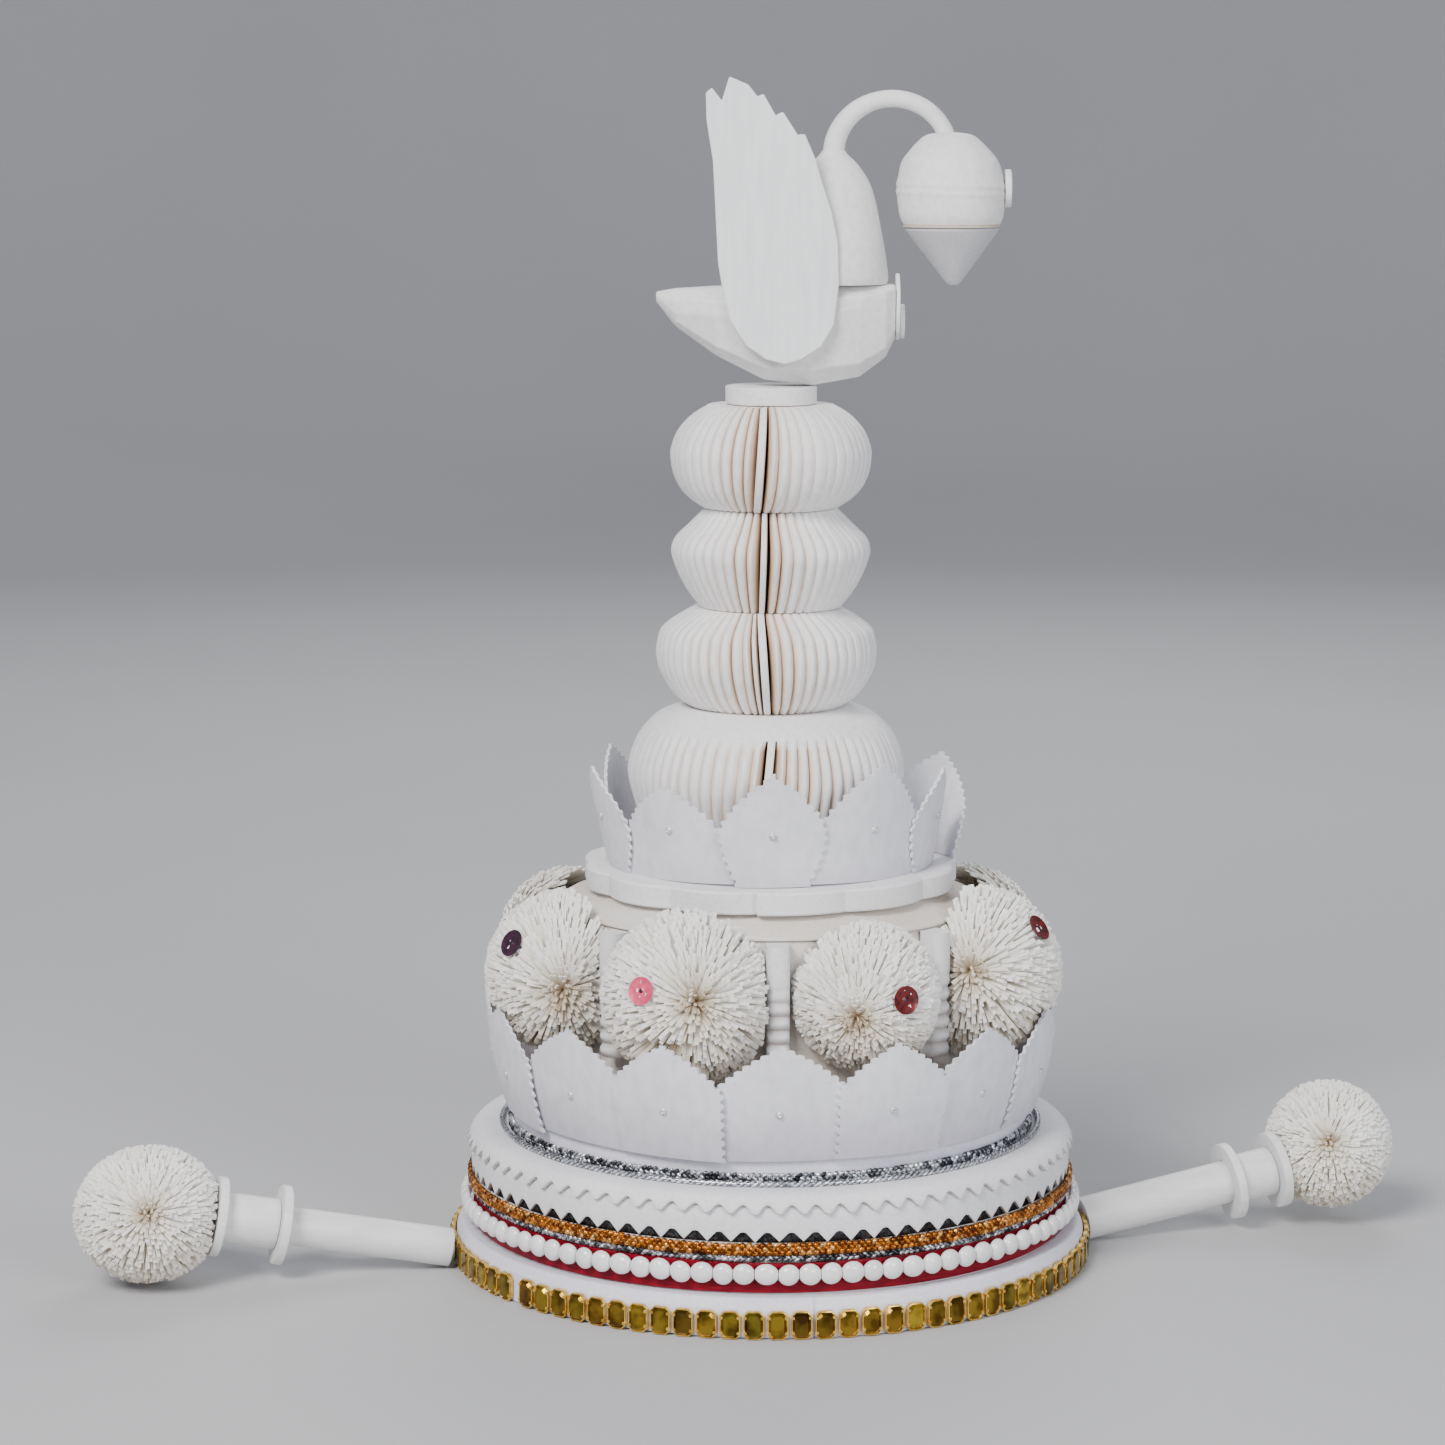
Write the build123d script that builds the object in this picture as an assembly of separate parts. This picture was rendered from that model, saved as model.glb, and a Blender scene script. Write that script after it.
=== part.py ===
from build123d import *
import math
import os
from collections import namedtuple

# A groom's tall wedding headdress carved and built from white plant pith.
# Origin: centre of the head opening on the rim plane. +Z up, X along the two arms. Millimetres.

# The side meant to be seen faces this many degrees round from -Y.
shown_turn = -13.0
# Distance left between a piece and the one that it is glued to.
seat_gap = 0.15

# Head band and the ledge that turns in from it
head_radius = 90.0
band_wall = 2.0
band_straight = 32.5
ledge_top = 38.9
ledge_hole_radius = 79.0
ledge_bevel = 6.5
ledge_corner_share = 0.33
inner_draw_share = 0.5

# Foot band and its run of set stones
foot_thickness = 6.15
foot_height = 12.1
foot_slope = 1.7
stone_height = 8.4
stone_pitch = 6.88
stone_spacing = 0.75
stone_depth = 1.9
stone_lift = 0.2
stone_table_share = 0.66
stone_girdle_share = 0.45
stone_corner_share = 0.2
trim_join_turn = -50.6
trim_join_gap = 3.6

# Ribbon, bead string and braids
ribbon_thickness = 0.7
ribbon_width = 9.4
bead_height = 6.6
bead_depth = 4.0
bead_rise = 3.05
bead_lengths = (6.0, 6.4, 5.7, 6.1, 6.7, 5.9, 6.2)
bead_spacing = 0.15
bead_join_turn = 180.7
bead_end_share = 0.5
thread_thickness = 0.6
thread_clearance = 0.2
thin_braid_radius = 0.8
copper_braid_radius = 1.7
braid_spacing = 0.3

# Pinked rim
rim_thickness = 1.2
rim_bottom = 28.3
rim_straight = 33.5
shoulder_thickness = 1.0
tooth_count = 83
tooth_depth = 3.0
tooth_gap_share = 0.66
shoulder_bend = 4.7
shoulder_edge = 1.85
shoulder_drop = 1.3
tooth_crown_share = 0.3

# Silver trims on the ledge
cord_radius = 0.9
cord_spacing = 0.6
braid_thickness = 1.9
braid_height = 5.0

# Drum, roof and disc
drum_radius = 64.0
drum_wall = 2.0
drum_foot_seat = 1.2
drum_foot_height = 13.0
drum_shoulder_rise = 10.0
drum_top = 110.75
roof_overhang = 0.8
roof_rim = 1.0
roof_flat_radius = 52.0
roof_rise = 5.1
disc_radius = 56.0
disc_bulge = 2.2
disc_thickness = 7.0
disc_lobes = 13
disc_turn = -4.5
disc_lap = 2.4

# Leaves
leaf_thickness = 1.2
lower_leaf_count = 16
lower_leaf_turn = 1.2
lower_leaf_foot = 49.0
lower_leaf_height = 35.5
lower_leaf_lean = 7.6
upper_leaf_count = 10
upper_leaf_turn = 0.2
upper_leaf_foot_radius = 48.5
upper_leaf_height = 35.3
upper_leaf_lean = 6.0
leaf_shoulder_height = 0.6
leaf_side_teeth = 6
leaf_brow_teeth = 6
leaf_tooth_depth = 0.8
leaf_brow_bow = 1.35
leaf_bow = 0.55
bent_leaf = 3
bent_leaf_lean = 13.0
bent_leaf_bow = 0.42

# Pompoms on the drum and the strips between them
kadam_stand_off = 3.5
kadam_height = 94.0
kadam_radius = 24.0
lock_core_share = 0.84
lock_top_share = 0.72
sequin_radius = 4.2
sequin_thickness = 0.8
strip_width = 7.0
strip_depth = 7.2
strip_height = 38.0
strip_rungs = 8
strip_face_share = 0.5
strip_cheek = 1.9
rung_groove_depth = 0.9
rung_groove_width = 1.26

# Pleated tower and collar
slat_gap = 0.75
slat_depth_share = 0.45
slat_turn = -3.8
collar_radius = 14.0
collar_height = 5.6

# Bird
body_length = 72.6
body_half_width = 15.0
body_height = 30.3
body_back = -35.0
body_deck_share = 0.62
body_bilge_share = 0.74
body_keel_share = 0.3
wing_thickness = 1.5
wing_width = 40.1
wing_height = 86.5
wing_back = -19.8
wing_rise = 6.2
neck_place = 19.8
neck_base_radius = 14.8
neck_pin_height = 42.0
neck_tube_radius = 2.6
neck_bow_height = 14.0
neck_bow_span = 33.7
head_radius_out = 16.1
head_height = 45.5
head_socket_depth = 6.6
beak_share = 0.375
beak_tip_radius = 0.6
forehead_disc_radius = 5.6
forehead_disc_thickness = 1.9
forehead_disc_drop = 16.8
chest_plate_height = 20.0
chest_plate_width = 17.0
chest_plate_thickness = 1.2
chest_plate_drop = 6.7
chest_disc_radius = 5.2
chest_disc_thickness = 1.4
chest_disc_drop = 4.4

# Arms
sleeve_radius = 7.7
ring_radius = 12.2
ring_thickness = 2.8
Arm = namedtuple("Arm", "side bearing across heading root_height rise rod_radius let_in reach ring_back "
                        "ball_radius ball_stretch ball_seat ball_lift")
arms = [
    Arm(side="right", bearing=0.0, across=-14.5, heading=3.0, root_height=7.3, rise=9.8, rod_radius=6.8,
        let_in=3.5, reach=82.6, ring_back=35.3, ball_radius=20.4, ball_stretch=1.0, ball_seat=18.0, ball_lift=4.0),
    Arm(side="left", bearing=180.0, across=0.0, heading=0.0, root_height=6.2, rise=11.3, rod_radius=5.9,
        let_in=0.0, reach=93.5, ring_back=40.5, ball_radius=20.9, ball_stretch=1.09, ball_seat=19.2, ball_lift=-2.0)]

# Where the pieces come to rest, worked out from the sizes above
band_radius = head_radius + band_wall
skin_radius = band_radius + seat_gap
foot_radius = skin_radius + foot_thickness
stone_back = foot_radius + seat_gap
trim_radius = stone_back + stone_depth
ribbon_bottom = foot_height + seat_gap
ribbon_radius = skin_radius + ribbon_thickness
ribbon_top = ribbon_bottom + ribbon_width
bead_back = ribbon_radius + seat_gap
bead_centre_height = foot_height + bead_rise + bead_height / 2
bead_front = bead_back + bead_depth
thread_ring = bead_back + bead_depth / 2
thin_braid_height = ribbon_top + braid_spacing + thin_braid_radius
copper_braid_height = thin_braid_height + thin_braid_radius + braid_spacing + copper_braid_radius
rim_radius = skin_radius + rim_thickness
rim_top = ledge_top + seat_gap + rim_thickness
shoulder_top = rim_top + seat_gap + shoulder_thickness
drum_foot_radius = ledge_hole_radius + drum_foot_seat
drum_foot_bottom = ledge_top + seat_gap
silver_braid_inner = drum_foot_radius + seat_gap
silver_braid_bottom = shoulder_top + seat_gap
silver_cord_ring = silver_braid_inner + braid_thickness + cord_spacing + cord_radius
drum_foot_top = drum_foot_bottom + drum_foot_height
drum_wall_bottom = drum_foot_top + drum_shoulder_rise
roof_bottom = drum_top + seat_gap
roof_top = roof_bottom + roof_rim + roof_rise
disc_bottom = roof_top + seat_gap
disc_top = disc_bottom + disc_thickness
tower_bottom = disc_top + seat_gap
lower_leaf_radius = drum_foot_radius + seat_gap
kadam_ring = drum_radius + kadam_stand_off


def around(turn):
    """Polar angle of a place that lies this far to the right of the side meant to be seen."""
    return shown_turn - 90.0 + turn


def spun(points):
    """A solid of revolution about Z from a closed outline of (radius, height) points."""
    face = make_face(Polyline(*[(radius, 0, height) for radius, height in points], close=True))
    return revolve(face, Axis.Z)


def ring(ring_radius_mid, wire_radius, height):
    """A closed ring of round section."""
    return Pos(0, 0, height) * Torus(ring_radius_mid, wire_radius)


def tube(outer, inner, bottom, top):
    """An upright tube."""
    return spun([(inner, bottom), (outer, bottom), (outer, top), (inner, top)])


def turned(shape, angle):
    """A copy of a shape turned about Z."""
    return Rot(0, 0, angle) * shape


def save(node, shape):
    """Write one piece as its own file; a piece of several loose solids comes as a list of them."""
    if isinstance(shape, list):
        shape = Compound(children=[solid for loose in shape for solid in loose.solids()])
    else:
        shape = shape.solid()
    export_step(shape, f"parts/{node}.step")


# Foot and rim

def base_band():
    """Thin head band whose top turns in to a ledge, more gently inside than outside."""
    bevel_in = ledge_bevel * ledge_corner_share
    lip_height = ledge_top - band_wall
    inner_bevel = lip_height - bevel_in
    inner_draw = bevel_in * inner_draw_share
    return spun([
        (head_radius, 0), (band_radius, 0), (band_radius, band_straight),
        (band_radius - bevel_in, ledge_top - bevel_in), (band_radius - ledge_bevel, ledge_top),
        (ledge_hole_radius, ledge_top), (ledge_hole_radius, lip_height),
        (head_radius - ledge_bevel, lip_height), (head_radius - inner_draw, inner_bevel),
        (head_radius, band_straight - bevel_in)])


def foot_band():
    """Thick band round the foot; its upper edge slopes in above the stones."""
    straight = stone_height + stone_lift + seat_gap
    return spun([(skin_radius, 0), (foot_radius, 0), (foot_radius, straight),
                 (foot_radius - foot_slope, foot_height), (skin_radius, foot_height)])


def set_stone(width):
    """One stone in its frame: a chamfered rectangle with a girdle, a crown and a table."""
    corner = stone_corner_share * width
    girdle = stone_girdle_share * stone_depth

    def outline(share, depth):
        w = width * share / 2
        h = (stone_height / 2) - (width - width * share) / 2
        c = corner * share
        corners = [(w - c, h), (w, h - c), (w, c - h), (w - c, -h), (c - w, -h), (-w, c - h), (-w, h - c), (c - w, h)]
        return Wire.make_polygon([(depth, y, z) for y, z in corners], close=True)

    back, waist, table = outline(1, 0), outline(1, girdle), outline(stone_table_share, stone_depth)
    return Solid.make_loft([back, waist, table], ruled=True)


def gold_trim():
    """Stones stand side by side round the foot, with one gap at the join."""
    run = 2 * math.pi * stone_back - trim_join_gap
    count = round(run / stone_pitch)
    pitch = run / count
    stone = Pos(stone_back, 0, stone_lift + stone_height / 2) * set_stone(pitch - stone_spacing)
    first = around(trim_join_turn) + math.degrees((trim_join_gap + pitch) / 2 / stone_back)
    step = math.degrees(pitch / stone_back)
    return [turned(stone, first + step * index) for index in range(count)]


def bead(length):
    """A drilled oval bead with a flat back, lying along Y with its back at x = 0."""
    half = bead_height / 2
    end = half * bead_end_share
    side = ThreePointArc((end, -length / 2, 0), (half, 0, 0), (end, length / 2, 0))
    closing = Polyline((end, length / 2, 0), (0, length / 2, 0), (0, -length / 2, 0), (end, -length / 2, 0))
    barrel = Pos(bead_depth - half, 0, 0) * revolve(make_face(Curve() + [side, closing]), Axis.Y)
    back = Pos(-half, 0, 0) * Box(bead_height, length * 2, bead_height * 2)
    hole = Pos(bead_depth / 2, 0, 0) * Rot(90, 0, 0) * Cylinder(thread_thickness / 2 + thread_clearance, length * 2)
    return barrel - back - hole


def bead_string():
    """Beads of a few lengths threaded in turn until the ring is full."""
    circle = 2 * math.pi * thread_ring
    patterns = [bead(length) for length in bead_lengths]
    mean = sum(bead_lengths) / len(bead_lengths) + bead_spacing
    count = int(circle / mean)
    lengths = [bead_lengths[index % len(bead_lengths)] for index in range(count)]
    spare = (circle - sum(lengths)) / count
    string = []
    place = 0.0
    for index, length in enumerate(lengths):
        angle = math.degrees((place + length / 2) / thread_ring)
        pattern = Pos(bead_back, 0, bead_centre_height) * patterns[index % len(patterns)]
        string.append(turned(pattern, around(bead_join_turn) + angle))
        place += length + spare
    return string


def tooth_gaps(outer_radius, inner_radius, root_height, tip_height, turn=0.0):
    """Pointed gaps that leave a pinked edge when they are cut from a band."""
    pitch = 2 * math.pi * outer_radius / tooth_count
    half = pitch * tooth_gap_share / 2
    crown = half * tooth_crown_share
    notch = make_face(Polyline(
        (0, -half, tip_height), (0, -crown, root_height), (0, crown, root_height), (0, half, tip_height), close=True))
    wedge = Pos(inner_radius, 0, 0) * extrude(notch, amount=outer_radius - inner_radius, dir=(1, 0, 0))
    step = 360.0 / tooth_count
    return [turned(wedge, around(turn) + step * index) for index in range(tooth_count)]


def rim_band():
    """Bulging outer strip of the rim with teeth along its lower edge."""
    bevel_in = ledge_bevel * ledge_corner_share
    top_inner = rim_top - rim_thickness
    shell = spun([
        (skin_radius, rim_bottom), (rim_radius, rim_bottom), (rim_radius, rim_straight),
        (rim_radius - bevel_in, rim_top - bevel_in), (rim_radius - ledge_bevel, rim_top),
        (drum_foot_radius + ledge_bevel, rim_top), (drum_foot_radius + ledge_bevel, top_inner),
        (skin_radius - ledge_bevel + 2 * seat_gap, top_inner),
        (skin_radius - bevel_in + seat_gap, top_inner - bevel_in),
        (skin_radius, rim_straight)])
    gaps = tooth_gaps(rim_radius + rim_thickness, skin_radius - rim_thickness, rim_bottom + tooth_depth,
                      rim_bottom - seat_gap)
    return shell - gaps


def rim_shoulder():
    """Upper strip of the rim, lying over the ledge with its teeth turned down and out."""
    low = shoulder_top - shoulder_thickness
    slant = shoulder_thickness * math.sqrt(0.5)
    bend_radius = rim_radius - shoulder_bend
    edge_radius = rim_radius - shoulder_edge
    edge_height = shoulder_top - shoulder_drop
    tip_radius = rim_radius - seat_gap
    tip_height = edge_height - tooth_depth + seat_gap
    shell = spun([
        (silver_braid_inner, low), (bend_radius, low), (edge_radius - slant, edge_height - slant),
        (tip_radius - slant, tip_height - slant), (tip_radius, tip_height), (edge_radius, edge_height),
        (bend_radius, shoulder_top), (silver_braid_inner, shoulder_top)])
    half_pitch = 180.0 / tooth_count
    gaps = tooth_gaps(rim_radius + rim_thickness, bend_radius, edge_height + seat_gap, tip_height - slant, half_pitch)
    return shell - gaps


# Drum and leaves

def drum_shoulder():
    """Sloping hoop between the wide foot of the drum and its upright wall."""
    bottom = drum_foot_top + seat_gap
    return spun([(drum_foot_radius - drum_wall, bottom), (drum_foot_radius, bottom), (drum_radius, drum_wall_bottom),
                 (drum_radius - drum_wall, drum_wall_bottom)])


def drum_lid():
    """Shallow lid on the drum, flat below and flat where the disc rests on it."""
    rim = drum_radius + roof_overhang
    return spun([(0, roof_bottom), (rim, roof_bottom), (rim, roof_bottom + roof_rim),
                 (roof_flat_radius, roof_top), (0, roof_top)])


def scalloped_disc():
    """Thick disc whose edge strip runs round in shallow lobes and laps over its own start."""
    step = 360.0 / disc_lobes
    start = around(disc_turn)
    edge = [Line(Vector(disc_radius, 0).rotate(Axis.Z, start),
                 Vector(disc_radius + disc_lap, 0).rotate(Axis.Z, start))]
    for index in range(disc_lobes):
        rise = disc_lap if index == 0 else 0.0
        edge.append(ThreePointArc(Vector(disc_radius + rise, 0).rotate(Axis.Z, start + step * index),
                                  Vector(disc_radius + disc_bulge, 0).rotate(Axis.Z, start + step * (index + 0.5)),
                                  Vector(disc_radius, 0).rotate(Axis.Z, start + step * (index + 1))))
    return Pos(0, 0, disc_bottom) * extrude(make_face(Curve() + edge), amount=disc_thickness)


def leaf_outline(foot_half, waist_half, height):
    """A leaf seen from outside: nearly straight sides, then a pointed brow, pinked all the way up."""
    shoulder = height * leaf_shoulder_height
    side = []
    for index in range(leaf_side_teeth):
        rise = index / leaf_side_teeth
        half = foot_half + (waist_half - foot_half) * rise
        side.append((half - leaf_tooth_depth, shoulder * rise))
        side.append((half, shoulder * (index + 0.5) / leaf_side_teeth))
    for index in range(leaf_brow_teeth):
        root = index / leaf_brow_teeth
        point = (index + 0.5) / leaf_brow_teeth
        side.append((waist_half * (1 - root ** leaf_brow_bow) - leaf_tooth_depth,
                     shoulder + (height - shoulder) * root))
        side.append((waist_half * (1 - point ** leaf_brow_bow),
                     shoulder + (height - shoulder) * point))
    return side + [(0, height)] + [(-half, rise) for half, rise in reversed(side)]


def leaf(foot_radius_in, foot, height, lean, bow, count):
    """A thin leaf that leans out as it rises, facing +X; its sides stop short of the next leaf in the ring."""
    middle = foot + height / 2
    line = [(foot_radius_in, foot), (foot_radius_in + lean * bow, middle), (foot_radius_in + lean, foot + height)]
    shell = spun(line + [(radius + leaf_thickness, rise) for radius, rise in reversed(line)])
    spread = math.sin(math.pi / count)
    foot_half = foot_radius_in * spread - seat_gap
    waist_half = (foot_radius_in + lean * bow) * spread - seat_gap
    outline = leaf_outline(foot_half, waist_half, height)
    face = make_face(Polyline(*[(0, half, foot + rise) for half, rise in outline], close=True))
    return shell & extrude(face, amount=2 * (foot_radius_in + lean), dir=(1, 0, 0))


def lower_leaf():
    """One leaf of the collar round the drum."""
    return leaf(lower_leaf_radius, lower_leaf_foot, lower_leaf_height, lower_leaf_lean, leaf_bow, lower_leaf_count)


def upper_leaf(lean, bow):
    """One leaf of the collar round the tower."""
    return leaf(upper_leaf_foot_radius, tower_bottom, upper_leaf_height, lean, bow, upper_leaf_count)


# Pompoms, sequins and strips

Kadam = namedtuple("Kadam", "turn size_share sequin_turn sequin_lift")
kadams = [
    Kadam(turn=-66.5, size_share=1.06, sequin_turn=20.0, sequin_lift=28.0),
    Kadam(turn=-21.5, size_share=1.10, sequin_turn=-11.0, sequin_lift=14.0),
    Kadam(turn=24.0, size_share=0.94, sequin_turn=6.0, sequin_lift=7.5),
    Kadam(turn=68.0, size_share=1.10, sequin_turn=-10.0, sequin_lift=36.0),
    Kadam(turn=113.0, size_share=0.98, sequin_turn=4.0, sequin_lift=8.0),
    Kadam(turn=158.0, size_share=0.95, sequin_turn=-6.0, sequin_lift=3.0),
    Kadam(turn=203.0, size_share=1.00, sequin_turn=8.0, sequin_lift=-4.0),
    Kadam(turn=248.5, size_share=0.96, sequin_turn=-5.0, sequin_lift=10.0)]


def around_axes(x, y, z):
    """A point with every choice of signs, in each of its three cyclic orders."""
    points = set()
    for i in (x, -x):
        for j in (y, -y):
            for k in (z, -z):
                points.update([(i, j, k), (j, k, i), (k, i, j)])
    return [Vector(*point) for point in sorted(points)]


def pompom(radius):
    """A ball with a blunt lock standing out on each of its 32 five- and six-sided fields."""
    golden = (1 + math.sqrt(5)) / 2
    corners = (around_axes(0, 1, 3 * golden) + around_axes(1, 2 + golden, 2 * golden)
               + around_axes(golden, 2, 2 * golden + 1))
    axes = around_axes(0, 1, golden) + around_axes(1, 1, 1) + around_axes(0, golden, 1 / golden)
    core = radius * lock_core_share / corners[0].length
    faces = []
    for axis in axes:
        way = axis.normalized()
        reach = max(corner.dot(way) for corner in corners)
        field = [corner * core for corner in corners if corner.dot(way) > reach - 0.001]
        middle = way * reach * core
        flat = (field[0] - middle).normalized()
        across = way.cross(flat)
        field.sort(key=lambda corner: math.atan2((corner - middle).dot(across), (corner - middle).dot(flat)))
        top_reach = (field[0] - middle).length * lock_top_share
        rise = way * math.sqrt(radius ** 2 - top_reach ** 2)
        top = [rise + (corner - middle) * lock_top_share for corner in field]
        faces.append(Face(Wire.make_polygon(top, close=True)))
        for index in range(len(field)):
            after = (index + 1) % len(field)
            side = [field[index], field[after], top[after], top[index]]
            faces.append(Face(Wire.make_polygon(side, close=True)))
    return Solid(Shell(faces))


def kadam_keep_out():
    """What a pompom must stay clear of: the drum, its roof and the disc behind it, and the leaves round it."""
    behind = drum_radius + roof_overhang + seat_gap
    under_disc = disc_radius + max(disc_bulge, disc_lap) + seat_gap
    drum = spun([(0, drum_foot_bottom), (behind, drum_foot_bottom), (behind, roof_bottom + roof_rim + seat_gap),
                 (under_disc, disc_bottom - seat_gap), (under_disc, disc_top + disc_thickness),
                 (0, disc_top + disc_thickness)])
    top = lower_leaf_foot + lower_leaf_height
    outside = kadam_ring + 2 * kadam_radius
    inner_face = lower_leaf_radius - seat_gap
    leaves = spun([
        (inner_face, lower_leaf_foot), (outside, lower_leaf_foot), (outside, top + seat_gap),
        (inner_face + lower_leaf_lean, top + seat_gap),
        (inner_face + lower_leaf_lean * leaf_bow, lower_leaf_foot + lower_leaf_height / 2)])
    return [drum, leaves]


def strip_turns():
    """One strip stands midway between each pompom and the next."""
    places = [kadam.turn for kadam in kadams] + [kadams[0].turn + 360.0]
    return [(left + right) / 2 for left, right in zip(places, places[1:])]


def ladder_strip():
    """Half-round strip with level grooves across its face, facing +X."""
    back = drum_radius + roof_overhang + seat_gap
    bottom = drum_top - strip_height
    half = strip_width / 2
    face_half = half * strip_face_share
    front = back + strip_depth
    section = make_face(Polyline((back, -half), (front - strip_cheek, -half), (front, -face_half), (front, face_half),
                                 (front - strip_cheek, half), (back, half), close=True))
    strip = Pos(0, 0, bottom) * extrude(section, amount=strip_height)
    pitch = strip_height / (strip_rungs + 1)
    groove = Box(rung_groove_depth * 2, strip_width * 2, rung_groove_width)
    grooves = [Pos(front, 0, bottom + pitch * (rung + 1)) * groove for rung in range(strip_rungs)]
    return strip - grooves


def kadam_place(kadam):
    """Where a pompom's centre lies, with its front turned away from the drum."""
    return Rot(0, 0, around(kadam.turn)) * Pos(kadam_ring, 0, kadam_height)


def strip_keep_out():
    """Room for the strips, a little larger than they are."""
    back = drum_radius
    depth = roof_overhang + strip_depth + 3 * seat_gap
    width = strip_width + 2 * seat_gap
    height = strip_height + 2 * seat_gap
    room = Pos(back + depth / 2, 0, drum_top - strip_height / 2) * Box(depth, width, height)
    return [turned(room, around(turn)) for turn in strip_turns()]


def sequin(kadam):
    """A small disc pinned to the face of a pompom."""
    radius = kadam_radius * kadam.size_share
    sagitta = radius - math.sqrt(radius ** 2 - sequin_radius ** 2)
    disc = Pos(radius + seat_gap, 0, 0) * Rot(0, 90, 0) * Cylinder(
        sequin_radius, sequin_thickness, align=(Align.CENTER, Align.CENTER, Align.MIN))
    return kadam_place(kadam) * Rot(0, 0, kadam.sequin_turn) * Rot(0, -kadam.sequin_lift, 0) * disc


# Pleated tower

Ring = namedtuple("Ring", "up out")
Tier = namedtuple("Tier", "node height radius slats aside rings slit_top")
tiers = [
    Tier("pleated_tier_4", 48.0, 42.8, 74, 1.4,
         [Ring(0.0, 0.80), Ring(0.2, 0.88), Ring(0.42, 0.957), Ring(0.61, 1.0), Ring(0.76, 0.965),
          Ring(0.93, 0.825), Ring(1.0, 0.60)], 0.86),
    Tier("pleated_tier_3", 30.5, 34.1, 60, 1.3,
         [Ring(0.0, 0.70), Ring(0.14, 0.85), Ring(0.27, 0.93), Ring(0.4, 0.98), Ring(0.56, 1.0), Ring(0.68, 0.985),
          Ring(0.78, 0.95), Ring(0.885, 0.835), Ring(1.0, 0.66)], 1.1),
    Tier("pleated_tier_2", 30.2, 30.6, 54, 0.0,
         [Ring(0.0, 0.71), Ring(0.15, 0.83), Ring(0.307, 0.915), Ring(0.464, 0.977), Ring(0.58, 1.0), Ring(0.7, 0.96),
          Ring(0.83, 0.83), Ring(1.0, 0.66)], 1.1),
    Tier("pleated_tier_1", 31.5, 30.8, 54, 0.0,
         [Ring(0.0, 0.67), Ring(0.07, 0.785), Ring(0.18, 0.90), Ring(0.33, 0.974), Ring(0.48, 1.0), Ring(0.6, 0.99),
          Ring(0.75, 0.925), Ring(0.9, 0.785), Ring(1.0, 0.62)], 1.1)]


def pleated_tier(tier, bottom):
    """A barrel of thin upright slats, set a little to one side: a turned body with slits between its slats."""
    side = Spline(*[(ring_row.out * tier.radius, 0, bottom + ring_row.up * tier.height) for ring_row in tier.rings])
    first, last = side @ 0, side @ 1
    closing = Polyline(last, (0, 0, last.Z), (0, 0, first.Z), first)
    barrel = revolve(make_face(Curve() + [side, closing]), Axis.Z)
    depth = tier.radius * slat_depth_share
    slit = Pos(tier.radius - depth, 0, bottom - seat_gap) * Box(
        depth * 2, slat_gap, tier.height * tier.slit_top, align=(Align.MIN, Align.CENTER, Align.MIN))
    step = 360.0 / tier.slats
    slats = barrel - [turned(slit, around(slat_turn) + step * (index + 0.5)) for index in range(tier.slats)]
    return turned(Pos(-tier.aside, 0, 0) * turned(slats, -shown_turn), shown_turn)


def top_collar(bottom):
    """Short round collar that the bird sits on."""
    return Pos(0, 0, bottom) * Cylinder(collar_radius, collar_height, align=(Align.CENTER, Align.CENTER, Align.MIN))


# Bird

Hull = namedtuple("Hull", "along wide keel low crease edge top")
hulls = [
    Hull(0.00, 0.16, 0.830, 0.850, 0.880, 0.910, 0.930),
    Hull(0.08, 0.48, 0.590, 0.640, 0.720, 0.860, 0.960),
    Hull(0.25, 0.86, 0.300, 0.400, 0.700, 0.850, 0.980),
    Hull(0.45, 1.00, 0.060, 0.190, 0.700, 0.860, 0.985),
    Hull(0.65, 1.00, 0.000, 0.170, 0.730, 0.880, 1.000),
    Hull(0.85, 0.92, 0.085, 0.230, 0.775, 0.900, 1.000),
    Hull(0.96, 0.74, 0.280, 0.380, 0.880, 0.950, 1.000),
    Hull(1.00, 0.56, 0.480, 0.560, 0.910, 0.960, 1.000)]


def bird_body(bottom):
    """Boat-shaped body cut in flat facets, tail to the left and chest to the right."""
    sections = []
    for hull in hulls:
        x = body_back + hull.along * body_length
        w = hull.wide * body_half_width
        keel, low, crease, edge, top = [bottom + share * body_height for share in hull[2:]]
        near_side = [(w * body_deck_share, top), (w, edge), (w, crease), (w * body_bilge_share, low),
                     (w * body_keel_share, keel)]
        far_side = [(-y, z) for y, z in reversed(near_side)]
        sections.append(Wire.make_polygon([(x, y, z) for y, z in near_side + far_side], close=True))
    return Solid.make_loft(sections, ruled=True)


WingPoint = namedtuple("WingPoint", "along up")
wing_foot = [WingPoint(0.09, 0.36), WingPoint(0.18, 0.155), WingPoint(0.44, 0.02), WingPoint(0.68, 0.015),
             WingPoint(0.88, 0.07), WingPoint(0.985, 0.19), WingPoint(0.995, 0.43), WingPoint(0.93, 0.575),
             WingPoint(0.815, 0.715)]
wing_teeth = [WingPoint(0.74, 0.795), WingPoint(0.685, 0.79), WingPoint(0.575, 0.872), WingPoint(0.52, 0.86),
              WingPoint(0.43, 0.935), WingPoint(0.385, 0.925), WingPoint(0.315, 0.965), WingPoint(0.175, 1.0),
              WingPoint(0.12, 0.912), WingPoint(0.045, 0.957), WingPoint(0.0, 0.938)]
wing_edge = [WingPoint(0.0, 0.845), WingPoint(0.055, 0.70), WingPoint(0.067, 0.565)]


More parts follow.
